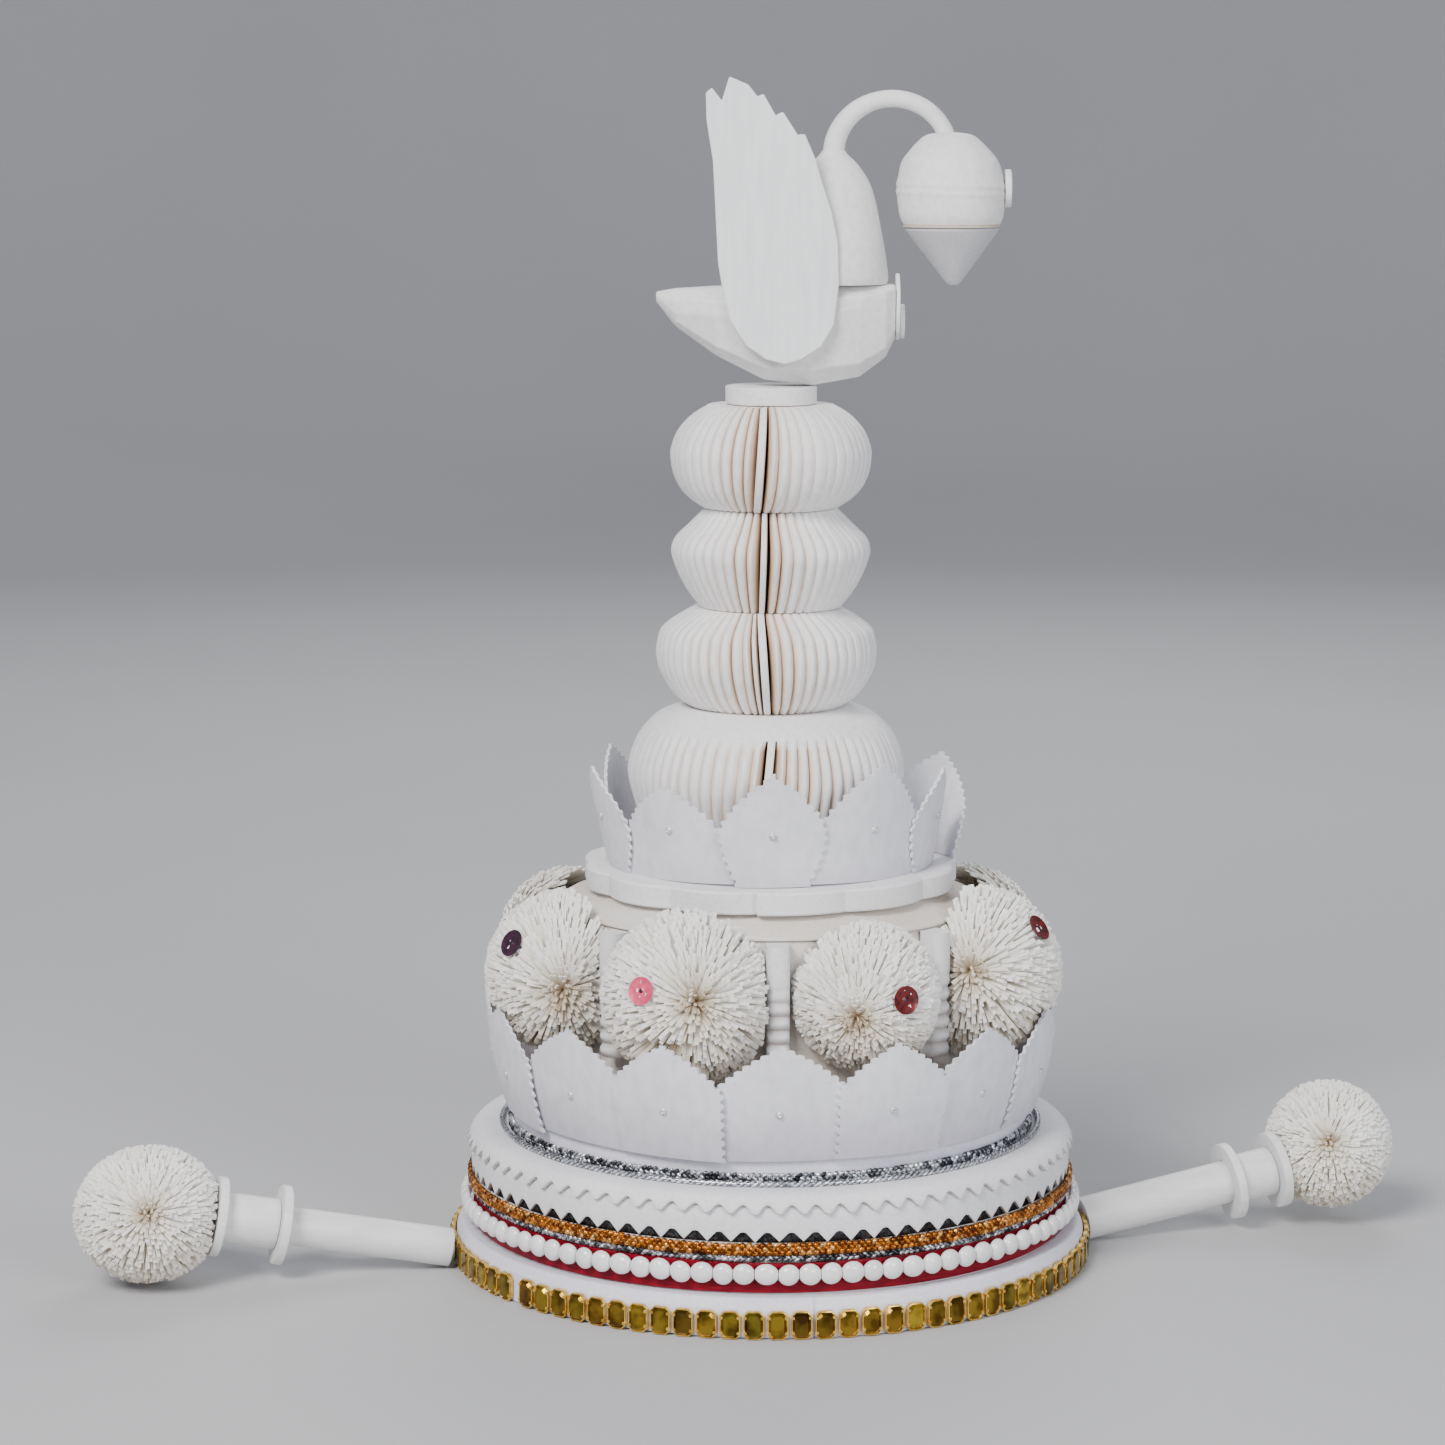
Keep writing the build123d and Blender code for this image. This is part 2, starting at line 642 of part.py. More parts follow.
def wing(bottom):
    """Flat pith sheet with a round foot and a saw-toothed upper edge, its inner face on y = 0."""
    def at(point):
        return (wing_back + point.along * wing_width, 0, bottom + wing_rise + point.up * wing_height)

    foot = Spline(*[at(point) for point in wing_foot])
    teeth = Polyline(*[at(point) for point in [wing_foot[-1]] + wing_teeth])
    edge = Spline(*[at(point) for point in [wing_teeth[-1]] + wing_edge + [wing_foot[0]]])
    return extrude(make_face(Curve() + [foot, teeth, edge]), amount=wing_thickness, dir=(0, -1, 0))


NeckRing = namedtuple("NeckRing", "up out")
neck_rings = [NeckRing(0.0, 1.0), NeckRing(0.19, 0.975), NeckRing(0.42, 0.89), NeckRing(0.585, 0.81),
              NeckRing(0.733, 0.69), NeckRing(0.865, 0.46), NeckRing(0.945, 0.30), NeckRing(1.0, 0.22)]


def neck_path(bottom):
    """Line of the stem: up out of the neck, then over in a half circle and down into the head."""
    crown = bottom + neck_pin_height + neck_bow_height
    spring = crown - neck_bow_span / 2
    start, far = neck_place, neck_place + neck_bow_span
    rise = Line((start, 0, bottom + neck_pin_height - 2 * neck_tube_radius), (start, 0, spring))
    bow = ThreePointArc((start, 0, spring), ((start + far) / 2, 0, crown), (far, 0, spring))
    return Curve() + [rise, bow], spring


def stem(path, radius):
    """Round stem along the path."""
    return sweep(Plane(path @ 0, z_dir=path % 0) * Circle(radius), path=path)


def neck(bottom, path):
    """Skittle-shaped neck that draws in to a thin bowed stem."""
    side = Spline(*[(ring_row.out * neck_base_radius, 0, ring_row.up * neck_pin_height) for ring_row in neck_rings])
    first, last = side @ 0, side @ 1
    closing = Polyline(last, (0, 0, last.Z), (0, 0, 0), first)
    skittle = Pos(neck_place, 0, bottom) * revolve(make_face(Curve() + [side, closing]), Axis.Z)
    return skittle + stem(path, neck_tube_radius)


HeadRing = namedtuple("HeadRing", "up out")
head_rings = [HeadRing(0.375, 0.90), HeadRing(0.49, 0.99), HeadRing(0.63, 1.0), HeadRing(0.79, 0.93),
              HeadRing(0.92, 0.72), HeadRing(1.0, 0.42)]


def head(top, path):
    """Bud-shaped head with a socket in its crown that follows the end of the stem."""
    bottom = top - head_height
    side = Spline(*[(row.out * head_radius_out, 0, bottom + row.up * head_height) for row in head_rings])
    first, last = side @ 0, side @ 1
    closing = Polyline(last, (0, 0, last.Z), (0, 0, first.Z), first)
    dome = Pos(neck_place + neck_bow_span, 0, 0) * revolve(make_face(Curve() + [side, closing]), Axis.Z)
    floor = Pos(neck_place + neck_bow_span, 0, top - head_socket_depth) * Cylinder(
        neck_tube_radius + seat_gap, seat_gap, align=(Align.CENTER, Align.CENTER, Align.MIN))
    return dome - [stem(path, neck_tube_radius + seat_gap), floor]


def beak(top):
    """Plain cone under the head."""
    bottom = top - head_height
    seam = bottom + beak_share * head_height - seat_gap
    radius = head_rings[0].out * head_radius_out
    cone = spun([(0, bottom), (beak_tip_radius, bottom), (radius, seam), (0, seam)])
    return Pos(neck_place + neck_bow_span, 0, 0) * cone


def facing_disc(radius, thickness, x, z):
    """Small round disc that faces +X."""
    return Pos(x, 0, z) * Rot(0, 90, 0) * Cylinder(radius, thickness, align=(Align.CENTER, Align.CENTER, Align.MIN))


# Arms

def along_arm(arm, shape):
    """Move a piece built along +X from the arm's root to its place on the headdress."""
    root = Pos(trim_radius + seat_gap + arm.rod_radius * math.sin(math.radians(arm.rise)), arm.across, arm.root_height)
    return Rot(0, 0, arm.bearing) * root * Rot(0, 0, arm.heading) * Rot(0, -arm.rise, 0) * shape


def arm_disc(radius, bore, start, finish):
    """Round piece on the arm's own axis, bored for the rod, between two distances from the root."""
    solid = Pos(start, 0, 0) * Rot(0, 90, 0) * Cylinder(
        radius, finish - start, align=(Align.CENTER, Align.CENTER, Align.MIN))
    if bore:
        solid -= Pos(start, 0, 0) * Rot(0, 90, 0) * Cylinder(bore, (finish - start) * 3)
    return solid


def rim_keep_out():
    """What the root of an arm is cut to fit: the stones, the foot band and the beads."""
    stones, band, beads = trim_radius + seat_gap, foot_radius + seat_gap, bead_front + seat_gap
    stones_top = stone_lift + stone_height + seat_gap
    return spun([(0, -foot_height), (stones, -foot_height), (stones, stones_top), (band, stones_top),
                 (beads, foot_height), (beads, ledge_top), (0, ledge_top)])


def arm_pieces(arm):
    """The five pieces of one arm."""
    bore = arm.rod_radius + seat_gap
    seat = arm.reach - arm.ball_seat
    outer_start = seat - seat_gap - ring_thickness
    inner_start = arm.reach - arm.ring_back - ring_thickness / 2
    ball = scale(pompom(arm.ball_radius), by=(arm.ball_stretch, 1, 1))
    behind = Pos(seat, 0, 0) * Box(
        arm.ball_radius * 2, arm.ball_radius * 3, arm.ball_radius * 3, align=(Align.MAX, Align.CENTER, Align.CENTER))
    pieces = {
        "inner_ring": arm_disc(ring_radius, bore, inner_start, inner_start + ring_thickness),
        "sleeve": arm_disc(sleeve_radius, bore, inner_start + ring_thickness + seat_gap, outer_start - seat_gap),
        "outer_ring": arm_disc(ring_radius, bore, outer_start, outer_start + ring_thickness),
        "pompom": Pos(arm.reach, 0, arm.ball_lift) * ball - behind}
    placed = {name: along_arm(arm, piece) for name, piece in pieces.items()}
    placed["rod"] = along_arm(arm, arm_disc(arm.rod_radius, 0, -arm.let_in, seat - seat_gap)) - rim_keep_out()
    return placed


# Write every piece

os.makedirs("parts", exist_ok=True)

save("base_band", base_band())
save("foot_band", foot_band())
save("gold_trim", gold_trim())
save("red_ribbon", tube(ribbon_radius, skin_radius, ribbon_bottom, ribbon_top))
save("bead_string", bead_string())
save("bead_thread", tube(thread_ring + thread_thickness / 2, thread_ring - thread_thickness / 2,
                         bead_centre_height - thread_thickness / 2, bead_centre_height + thread_thickness / 2))
save("thin_silver_braid", ring(skin_radius + thin_braid_radius, thin_braid_radius, thin_braid_height))
save("copper_braid", ring(skin_radius + copper_braid_radius, copper_braid_radius, copper_braid_height))
save("rim_band", rim_band())
save("rim_shoulder", rim_shoulder())
save("silver_cord", ring(silver_cord_ring, cord_radius, shoulder_top + seat_gap + cord_radius))
save("silver_braid", tube(silver_braid_inner + braid_thickness, silver_braid_inner,
                          silver_braid_bottom, silver_braid_bottom + braid_height))
save("drum_foot", tube(drum_foot_radius, drum_foot_radius - drum_wall, drum_foot_bottom, drum_foot_top))
save("drum_shoulder", drum_shoulder())
save("drum_wall", tube(drum_radius, drum_radius - drum_wall, drum_wall_bottom + seat_gap, drum_top))
save("drum_lid", drum_lid())
save("scalloped_disc", scalloped_disc())

one_lower_leaf = lower_leaf()
lower_step = 360.0 / lower_leaf_count
save("lower_leaf_collar", [turned(one_lower_leaf, around(lower_leaf_turn) + lower_step * index)
                           for index in range(lower_leaf_count)])

upper_step = 360.0 / upper_leaf_count
upper_leaves = [upper_leaf(upper_leaf_lean, leaf_bow)] * upper_leaf_count
upper_leaves[bent_leaf] = upper_leaf(bent_leaf_lean, bent_leaf_bow)
save("upper_leaf_collar", [turned(one_leaf, around(upper_leaf_turn) + upper_step * index)
                           for index, one_leaf in enumerate(upper_leaves)])

keep_out = kadam_keep_out()
strip_rooms = strip_keep_out()
kadam_pattern = pompom(kadam_radius)
for index, kadam in enumerate(kadams):
    ball = kadam_place(kadam) * scale(kadam_pattern, by=kadam.size_share)
    save(f"kadam_{index + 1}", ball - (keep_out + [strip_rooms[index - 1], strip_rooms[index]]))
save("kadam_sequins", [sequin(kadam) for kadam in kadams])

one_strip = ladder_strip()
save("ladder_strips", [turned(one_strip, around(turn)) for turn in strip_turns()])

tower = tower_bottom
for tier in tiers:
    save(tier.node, pleated_tier(tier, tower))
    tower += tier.height + seat_gap
save("top_collar", top_collar(tower))

bird_bottom = tower + collar_height + seat_gap
bird_top = bird_bottom + body_height
save("bird_body", turned(bird_body(bird_bottom), shown_turn))
wing_shape = wing(bird_bottom)
near_wing = Pos(0, -body_half_width - seat_gap, 0) * wing_shape
far_wing = Pos(0, body_half_width + seat_gap + wing_thickness, 0) * wing_shape
save("bird_wing_near", turned(near_wing, shown_turn))
save("bird_wing_far", turned(far_wing, shown_turn))
stem_line, stem_end = neck_path(bird_top + seat_gap)
save("bird_neck", turned(neck(bird_top + seat_gap, stem_line), shown_turn))
head_top = stem_end - seat_gap + head_socket_depth
save("bird_head", turned(head(head_top, stem_line), shown_turn))
save("bird_beak", turned(beak(head_top), shown_turn))
forehead_x = neck_place + neck_bow_span + head_radius_out + seat_gap
save("bird_head_disc", turned(
    facing_disc(forehead_disc_radius, forehead_disc_thickness, forehead_x, head_top - forehead_disc_drop), shown_turn))
chest_x = body_back + body_length + seat_gap
plate_height = bird_top - chest_plate_drop
plate = Pos(chest_x, 0, plate_height) * Rot(0, 90, 0) * extrude(
    Ellipse(chest_plate_height / 2, chest_plate_width / 2), amount=chest_plate_thickness)
save("chest_plate", turned(plate, shown_turn))
save("chest_disc", turned(
    facing_disc(chest_disc_radius, chest_disc_thickness, chest_x + chest_plate_thickness + seat_gap,
                plate_height - chest_disc_drop), shown_turn))

for arm in arms:
    for name, piece in arm_pieces(arm).items():
        save(f"{arm.side}_{name}", piece)
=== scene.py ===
import math
from collections import namedtuple

import bmesh
import bpy
import numpy as np
from mathutils import Matrix, Vector


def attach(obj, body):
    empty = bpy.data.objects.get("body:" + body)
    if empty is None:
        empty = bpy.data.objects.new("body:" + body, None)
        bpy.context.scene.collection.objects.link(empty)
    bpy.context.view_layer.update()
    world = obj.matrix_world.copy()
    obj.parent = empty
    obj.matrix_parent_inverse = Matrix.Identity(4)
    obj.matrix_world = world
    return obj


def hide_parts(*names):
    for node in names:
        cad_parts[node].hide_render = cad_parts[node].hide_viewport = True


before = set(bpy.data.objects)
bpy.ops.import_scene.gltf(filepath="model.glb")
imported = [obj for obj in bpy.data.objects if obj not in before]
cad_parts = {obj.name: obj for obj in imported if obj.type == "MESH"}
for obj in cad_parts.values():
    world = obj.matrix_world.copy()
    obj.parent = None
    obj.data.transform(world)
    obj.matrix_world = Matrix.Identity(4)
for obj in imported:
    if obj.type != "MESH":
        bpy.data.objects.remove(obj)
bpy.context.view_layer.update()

# The view of the photograph: a long lens a little above the rim, turned 13 degrees off the arms,
# so that the left arm comes forward and the right arm goes back. All lengths are millimetres.
mm = 0.001
shown_turn = -13.0
camera_data = bpy.data.cameras.new("view")
camera_data.sensor_width = 36
camera_data.lens = 99.9
camera_data.clip_start = 0.01
camera = bpy.data.objects.new("view", camera_data)
camera.location = Vector((-289.9, -1189.8, 349.0)) * mm
camera.rotation_euler = (math.radians(90 - 8.47), 0, math.radians(shown_turn))
bpy.context.scene.collection.objects.link(camera)
bpy.context.scene.camera = camera


# Head band: a stiff hoop of pasted pith that goes round the wearer's head. Its top turns in to a
# ledge for the drum. It shows only inside and under the rim.
def joined(rings, ends="first last"):
    """Points and faces through rings of equal length; ends names the flat ends, or is none or loop."""
    size = len(rings[0])
    points = [point for ring in rings for point in ring]
    faces = []
    for row in range(len(rings) - (ends != "loop")):
        here = row * size
        there = (row + 1) % len(rings) * size
        for index in range(size):
            after = (index + 1) % size
            faces.append((here + index, here + after, there + after, there + index))
    if "first" in ends:
        faces.append(tuple(reversed(range(size))))
    if "last" in ends:
        faces.append(tuple(range(len(points) - size, len(points))))
    return points, faces


def turned(outline, steps, change=None):
    """Points and faces of a closed (radius, height) outline turned about Z."""
    rings = []
    for step in range(steps):
        angle = 2 * math.pi * step / steps
        line = [change(angle, *spot) for spot in outline] if change else outline
        x = math.cos(angle)
        y = math.sin(angle)
        rings.append([(radius * x, radius * y, height) for radius, height in line])
    return joined(rings, "loop")


def rounded(outline, radius, steps=3):
    """The outline with each corner cut to a small arc."""
    result = []
    count = len(outline)
    for index in range(count):
        corner = Vector(outline[index])
        back = Vector(outline[index - 1]) - corner
        ahead = Vector(outline[(index + 1) % count]) - corner
        reach = min(radius, back.length * 0.45, ahead.length * 0.45)
        start = corner + back.normalized() * reach
        finish = corner + ahead.normalized() * reach
        for step in range(steps + 1):
            share = step / steps
            result.append(tuple(start.lerp(corner, share).lerp(corner.lerp(finish, share), share)))
    return result


def make_piece(name, points, faces, materials, nodes=(), sharp=35, tones=None, slots=None):
    """A mesh from points in millimetres, finished, carried by the object and standing for its solids."""
    mesh = bpy.data.meshes.new(name)
    mesh.from_pydata((np.asarray(points, dtype=float) * mm).tolist(), [], [tuple(face) for face in faces])
    for material in materials:
        mesh.materials.append(material)
    if slots is not None:
        mesh.polygons.foreach_set("material_index", np.asarray(slots, dtype=np.int32))
    if tones is not None:
        layer = mesh.attributes.new("tone", "FLOAT", "POINT")
        layer.data.foreach_set("value", np.asarray(tones, dtype=np.float32))
    shell = bmesh.new()
    shell.from_mesh(mesh)
    bmesh.ops.recalc_face_normals(shell, faces=shell.faces)
    shell.to_mesh(mesh)
    shell.free()
    mesh.shade_smooth()
    mesh.set_sharp_from_angle(angle=math.radians(sharp))
    obj = bpy.data.objects.new(name, mesh)
    bpy.context.scene.collection.objects.link(obj)
    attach(obj, "root")
    if nodes:
        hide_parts(*nodes)
    return obj


class Finish:
    """A material being made: its shader, and the nodes that lead to it."""

    def __init__(self, name, rough, metal=0.0):
        self.material = bpy.data.materials.new(name)
        self.material.use_nodes = True
        self.tree = self.material.node_tree
        self.shader = self.tree.nodes["Principled BSDF"]
        self.place = self.tree.nodes.new("ShaderNodeTexCoord").outputs["Object"]
        self.set("Roughness", rough)
        self.set("Metallic", metal)

    def feed(self, node, socket, value):
        """A constant, or another node's output, for a node's socket."""
        if isinstance(value, bpy.types.NodeSocket):
            self.tree.links.new(value, node.inputs[socket])
        else:
            node.inputs[socket].default_value = value

    def set(self, socket, value):
        self.feed(self.shader, socket, value)

    def add(self, kind, **inputs):
        node = self.tree.nodes.new(kind)
        for socket, value in inputs.items():
            self.feed(node, socket, value)
        return node

    def speckle(self, scale, detail=2.0, stretch=(1, 1, 1)):
        """Noise in the object's own space; scale is per metre, and stretch draws it out along an axis."""
        draw = self.add("ShaderNodeMapping", Vector=self.place, Scale=stretch)
        noise = self.add("ShaderNodeTexNoise", Vector=draw.outputs["Vector"], Scale=scale, Detail=detail)
        return noise.outputs["Fac"]

    def tone(self):
        """The value that a mesh keeps at each of its points."""
        tone = self.add("ShaderNodeAttribute")
        tone.attribute_name = "tone"
        return tone.outputs["Fac"]

    def colours(self, value, *steps):
        """A run of colours along a value; steps are (place, colour)."""
        ramp = self.add("ShaderNodeValToRGB", Fac=value)
        while len(ramp.color_ramp.elements) < len(steps):
            ramp.color_ramp.elements.new(0.5)
        for element, (position, colour) in zip(ramp.color_ramp.elements, steps):
            element.position = position
            element.color = (*colour, 1)
        return ramp.outputs["Color"]

    def multiplied(self, first, second, share=1.0):
        mix = self.tree.nodes.new("ShaderNodeMix")
        mix.data_type = "RGBA"
        mix.blend_type = "MULTIPLY"
        for socket, value in (("Factor", share), ("A", first), ("B", second)):
            self.feed(mix, socket, value)
        return mix.outputs["Result"]

    def relief(self, value, height):
        """Fine relief under the light."""
        bump = self.add("ShaderNodeBump", Strength=1.0, Distance=height * mm, Height=value)
        self.set("Normal", bump.outputs["Normal"])


def pith(name, light, shade, shade_and_seam, rough=0.62, stretch=(1, 1, 1), grain=900.0, grain_height=0.09):
    """Cut plant pith: soft white with broad cloudy shading and fine fibres. A mesh's tone tints it warm and
    dark, mostly a painted shade in its cuts and hollows, on the bird's head a seam line.
    """
    finish = Finish(name, rough)
    broad = finish.colours(finish.speckle(34.0, 3.0), (0.36, shade), (0.62, light))
    fibre = finish.speckle(grain, 3.0, stretch)
    thin = finish.colours(fibre, (0.3, (0.86, 0.86, 0.87)), (0.62, (1.0, 1.0, 1.0)))
    steps = shade_and_seam if isinstance(shade_and_seam, list) else [(0.0, (1, 1, 1)), (1.0, shade_and_seam)]
    # Painted shade: a mesh's tone darkens the pith towards this warm colour in its cuts and hollows.
    shade_and_seam_tint = finish.colours(finish.tone(), *steps)
    finish.set("Base Color", finish.multiplied(finish.multiplied(broad, thin, 0.75), shade_and_seam_tint))
    finish.set("Specular IOR Level", 0.35)
    finish.relief(fibre, grain_height)
    return finish.material


smooth_pith = pith("smooth_pith", (0.86, 0.855, 0.86), (0.8, 0.79, 0.79), (0.55, 0.42, 0.3))
hoop_outline = rounded([(90, 0), (92, 0), (92, 32.5), (89.9, 36.8), (85.5, 38.9), (79, 38.9), (79, 36.9),
                        (83.5, 36.9), (88.9, 34.75), (90, 30.4)], 0.5)
make_piece("head_hoop", *turned(hoop_outline, 180), [smooth_pith], ["base_band"])


# Foot band: a thick strip of lilac-white pith bent round the hoop and butted at one seam, a little
# to the right of the side meant to be seen.
def around(turn):
    """Angle of a place that lies this far to the right of the side meant to be seen."""
    return math.radians(shown_turn - 90 + turn)


foot_pith = pith("foot_pith", (0.8, 0.79, 0.87), (0.74, 0.73, 0.83), (0.5, 0.4, 0.36))
foot_radius = 98.0
seam_turn = around(7.0)
seam_half = 0.32
seam_depth = 0.9
edge_sway = 0.12


def seam(angle, radius, height):
    """The butt joint opens as a hairline in the outer face, and the edges run a little unevenly."""
    away = abs(math.remainder(angle - seam_turn, 2 * math.pi)) * foot_radius
    if radius > foot_radius - 2 and away < seam_half:
        radius -= seam_depth
    return radius, height + edge_sway * math.sin(5 * angle)


foot_outline = rounded([(92.2, 0.15), (98.2, 0.15), (98.1, 8.9), (96.6, 11.9), (92.2, 11.9)], 0.7)
make_piece("foot_strip", *turned(foot_outline, 1440, seam), [foot_pith], ["foot_band"])


# Run of set stones: flat-backed mirror stones in thin gilt claw frames, a ready-made trimming glued
# round the foot. The stones are olive, amber and brown, and the run has one gap where its ends meet.
stone_height = 8.4
stone_radius = 98.45
stone_level = 4.45
join_turn = -50.6
join_gap = 3.6
stone_count = 89
stone_pitch = (2 * math.pi * stone_radius - join_gap) / stone_count
stone_width = stone_pitch - 0.75


def combined(parts):
    """Several (points, faces) as one, and the part that each face came from."""
    points = []
    faces = []
    owners = []
    for number, (more_points, more_faces) in enumerate(parts):
        start = len(points)
        points.extend(more_points)
        faces.extend(tuple(start + index for index in face) for face in more_faces)
        owners.extend([number] * len(more_faces))
    return points, faces, owners


def copies(points, faces, frames):
    """One shape set out many times; frames is an array of (origin, x, y, z) rows for each copy."""
    points = np.asarray(points, dtype=float)
    frames = np.asarray(frames, dtype=float)
    placed = frames[:, None, 0] + np.einsum("pa,nab->npb", points, frames[:, 1:])
    all_faces = []
    for number in range(len(frames)):
        start = number * len(points)
        all_faces.extend(tuple(start + index for index in face) for face in faces)
    return placed.reshape(-1, 3), all_faces


def upright(angle):
    """Out from the middle, and along the ring, at an angle."""
    return Vector((math.cos(angle), math.sin(angle), 0)), Vector((-math.sin(angle), math.cos(angle), 0))


def setting(rows, ends="first last"):
    """Rectangles with their corners cut off; rows are width less, height less, corner, depth."""
    rings = []
    for narrower, lower, corner, depth in rows:
        y = (stone_width - narrower) / 2
        z = (stone_height - lower) / 2
        rings.append([(depth, corner - y, -z), (depth, y - corner, -z), (depth, y, corner - z),
                      (depth, y, z - corner), (depth, y - corner, z), (depth, corner - y, z),
                      (depth, -y, z - corner), (depth, -y, corner - z)])
    return joined(rings, ends)


set_parts = [
    setting([(0.9, 0.9, 1.1, 0.5), (0.9, 0.9, 1.1, 0.95), (2.5, 2.5, 0.8, 1.75)]),
    setting([(0.2, 0.0, 1.3, 0.0), (0.0, 0.0, 1.3, 0.7), (0.15, 0.15, 1.25, 1.15), (0.75, 0.75, 1.1, 1.25),
             (1.1, 1.1, 1.0, 0.85)], "first")]
for side in (-1, 1):
    for level in (-0.27, 0.27):
        set_parts.append(joined([[(x, side * (stone_width / 2 - 0.5) + y, level * stone_height + z)
                                  for y, z in ((-0.55, -0.4), (0.45, -0.4), (0.45, 0.4), (-0.55, 0.4))]
                                 for x in (0.9, 1.5)]))
set_stone, set_faces, set_owner = combined(set_parts)
chance = np.random.default_rng(11)
stone_frames = []
for number in range(stone_count):
    angle = around(join_turn) + (join_gap / 2 + stone_pitch * (number + 0.5)) / stone_radius
    tilt = chance.normal(0, 0.018)
    roll = chance.normal(0, 0.02)
    out, side = upright(angle + tilt)
    out = (out + Vector((0, 0, roll))).normalized()
    origin = upright(angle)[0] * (stone_radius + 0.1)
    origin.z = stone_level + chance.normal(0, 0.09)
    stone_frames.append([origin, out, side, out.cross(side)])
stone_tones = np.repeat(chance.uniform(0, 1, stone_count), len(set_stone))

mirror_stone = Finish("mirror_stone", rough=0.09, metal=0.85)
own = mirror_stone.colours(mirror_stone.tone(), (0.0, (0.2, 0.15, 0.015)), (0.35, (0.36, 0.23, 0.02)),
                           (0.6, (0.15, 0.085, 0.012)), (0.8, (0.5, 0.34, 0.03)), (1.0, (0.17, 0.075, 0.01)))
foil = mirror_stone.colours(mirror_stone.speckle(210.0), (0.38, (0.35, 0.3, 0.25)), (0.6, (1.0, 1.0, 1.0)))
mirror_stone.set("Base Color", mirror_stone.multiplied(own, foil))
gilt = Finish("gilt_frame", rough=0.3, metal=1.0)
wear = gilt.speckle(420.0, 3.0)
gilt.set("Base Color", gilt.colours(wear, (0.35, (0.66, 0.37, 0.06)), (0.6, (1.0, 0.7, 0.2))))
gilt.relief(wear, 0.05)
stone_slots = [0 if owner == 0 else 1 for owner in set_owner] * stone_count
make_piece("set_stones", *copies(set_stone, set_faces, stone_frames), [mirror_stone.material, gilt.material],
           ["gold_trim"], sharp=20, tones=stone_tones, slots=stone_slots)


# Ribbon: a deep crimson satin tape, woven flat and glued round the hoop above the foot. The beads
# lie over it, so it shows as a red line above and below them.
tape_foot = 12.2
tape_width = 9.4
satin = Finish("crimson_satin", rough=0.5)
satin.set("Specular IOR Level", 0.2)
weft = satin.speckle(600.0, 2.0, (0.25, 0.25, 3.0))
satin.set("Base Color", satin.colours(weft, (0.3, (0.13, 0.0005, 0.008)), (0.65, (0.27, 0.0015, 0.014))))
satin.relief(weft, 0.12)


def tape_ripple(angle, radius, height):
    """The tape is not quite flat: it stands off here and there, and its upper edge runs unevenly."""
    lift = max(0, (height - tape_foot) / tape_width)
    radius += (0.14 * math.sin(23 * angle) + 0.1 * math.sin(61 * angle + 1)) * lift * (radius > 92.5)
    return radius, height + 0.22 * math.sin(9 * angle + 2) * lift


ribbon_outline = [(92.15, 12.25), (92.75, 12.25), (92.8, 17), (92.8, 21.0), (92.6, 21.5), (92.15, 21.5)]
make_piece("satin_tape", *turned(rounded(ribbon_outline, 0.2), 360, tape_ripple), [satin.material],
           ["red_ribbon"])


# Bead string: glossy white oval beads, flat at the back and of mixed lengths. They are threaded on
# white cotton and glued over the ribbon.
def circle(radius, steps):
    """Points of a circle about zero."""
    angles = [2 * math.pi * step / steps for step in range(steps)]
    return [(radius * math.cos(angle), radius * math.sin(angle)) for angle in angles]


bead_lengths = (6.0, 6.4, 5.7, 6.1, 6.7, 5.9, 6.2)
bead_count = 94
bead_sides = 16
thread_ring = 95.0
thread_radius = 0.3
bead_level = 18.45
bead_half_depth = 2.0
bead_half_height = 3.28

bead_rings = []
for row in range(9):
    share = -1 + row / 4
    bulge = math.sqrt(1 - (0.9 * share) ** 2)
    bead_rings.append([(max(x * bulge, -0.5) * bead_half_depth, share / 2, z * bulge * bead_half_height)
                       for x, z in circle(1, bead_sides)])
# The drilled ends: half the bead's length from its middle, then a little inside.
for reach, drill in ((0.5, 0.3), (0.42, 0.264)):
    bead_rings.insert(0, [(x, -reach, z) for x, z in circle(drill, bead_sides)])
    bead_rings.append([(x, reach, z) for x, z in circle(drill, bead_sides)])
bead_points, bead_faces = joined(bead_rings)
lengths = [bead_lengths[number % len(bead_lengths)] for number in range(bead_count)]
spare = (2 * math.pi * thread_ring - sum(lengths)) / bead_count
bead_frames = []
bead_tones = []
run = 0.0
for length in lengths:
    angle = around(180.7) + (run + length / 2) / thread_ring
    run += length + spare
    out, side = upright(angle)
    side = (side + Vector((0, 0, chance.normal(0, 0.03)))) * length
    origin = out * (thread_ring + 0.05)
    origin.z = bead_level + chance.normal(0, 0.1)
    bead_frames.append([origin, out, side, Vector((0, 0, chance.uniform(0.96, 1.0)))])
    bead_tones.extend([chance.uniform(0, 1)] * len(bead_points))
bead_gloss = Finish("bead_gloss", rough=0.16)
bead_gloss.set("Base Color", bead_gloss.colours(bead_gloss.tone(), (0.0, (0.82, 0.8, 0.82)),
                                                (1.0, (0.9, 0.89, 0.88))))
bead_gloss.set("Coat Weight", 0.6)
bead_gloss.set("Coat Roughness", 0.06)
make_piece("oval_beads", *copies(bead_points, bead_faces, bead_frames), [bead_gloss.material],
           ["bead_string"], sharp=50, tones=bead_tones)
cotton = Finish("thread_white", rough=0.8)
cotton.set("Base Color", cotton.colours(cotton.speckle(1500.0), (0.3, (0.55, 0.5, 0.47)),
                                        (0.7, (0.85, 0.82, 0.78))))
thread_outline = [(thread_ring + x, bead_level + z) for x, z in circle(thread_radius, 8)]
make_piece("bead_cotton", *turned(thread_outline, 360), [cotton.material], ["bead_thread"])


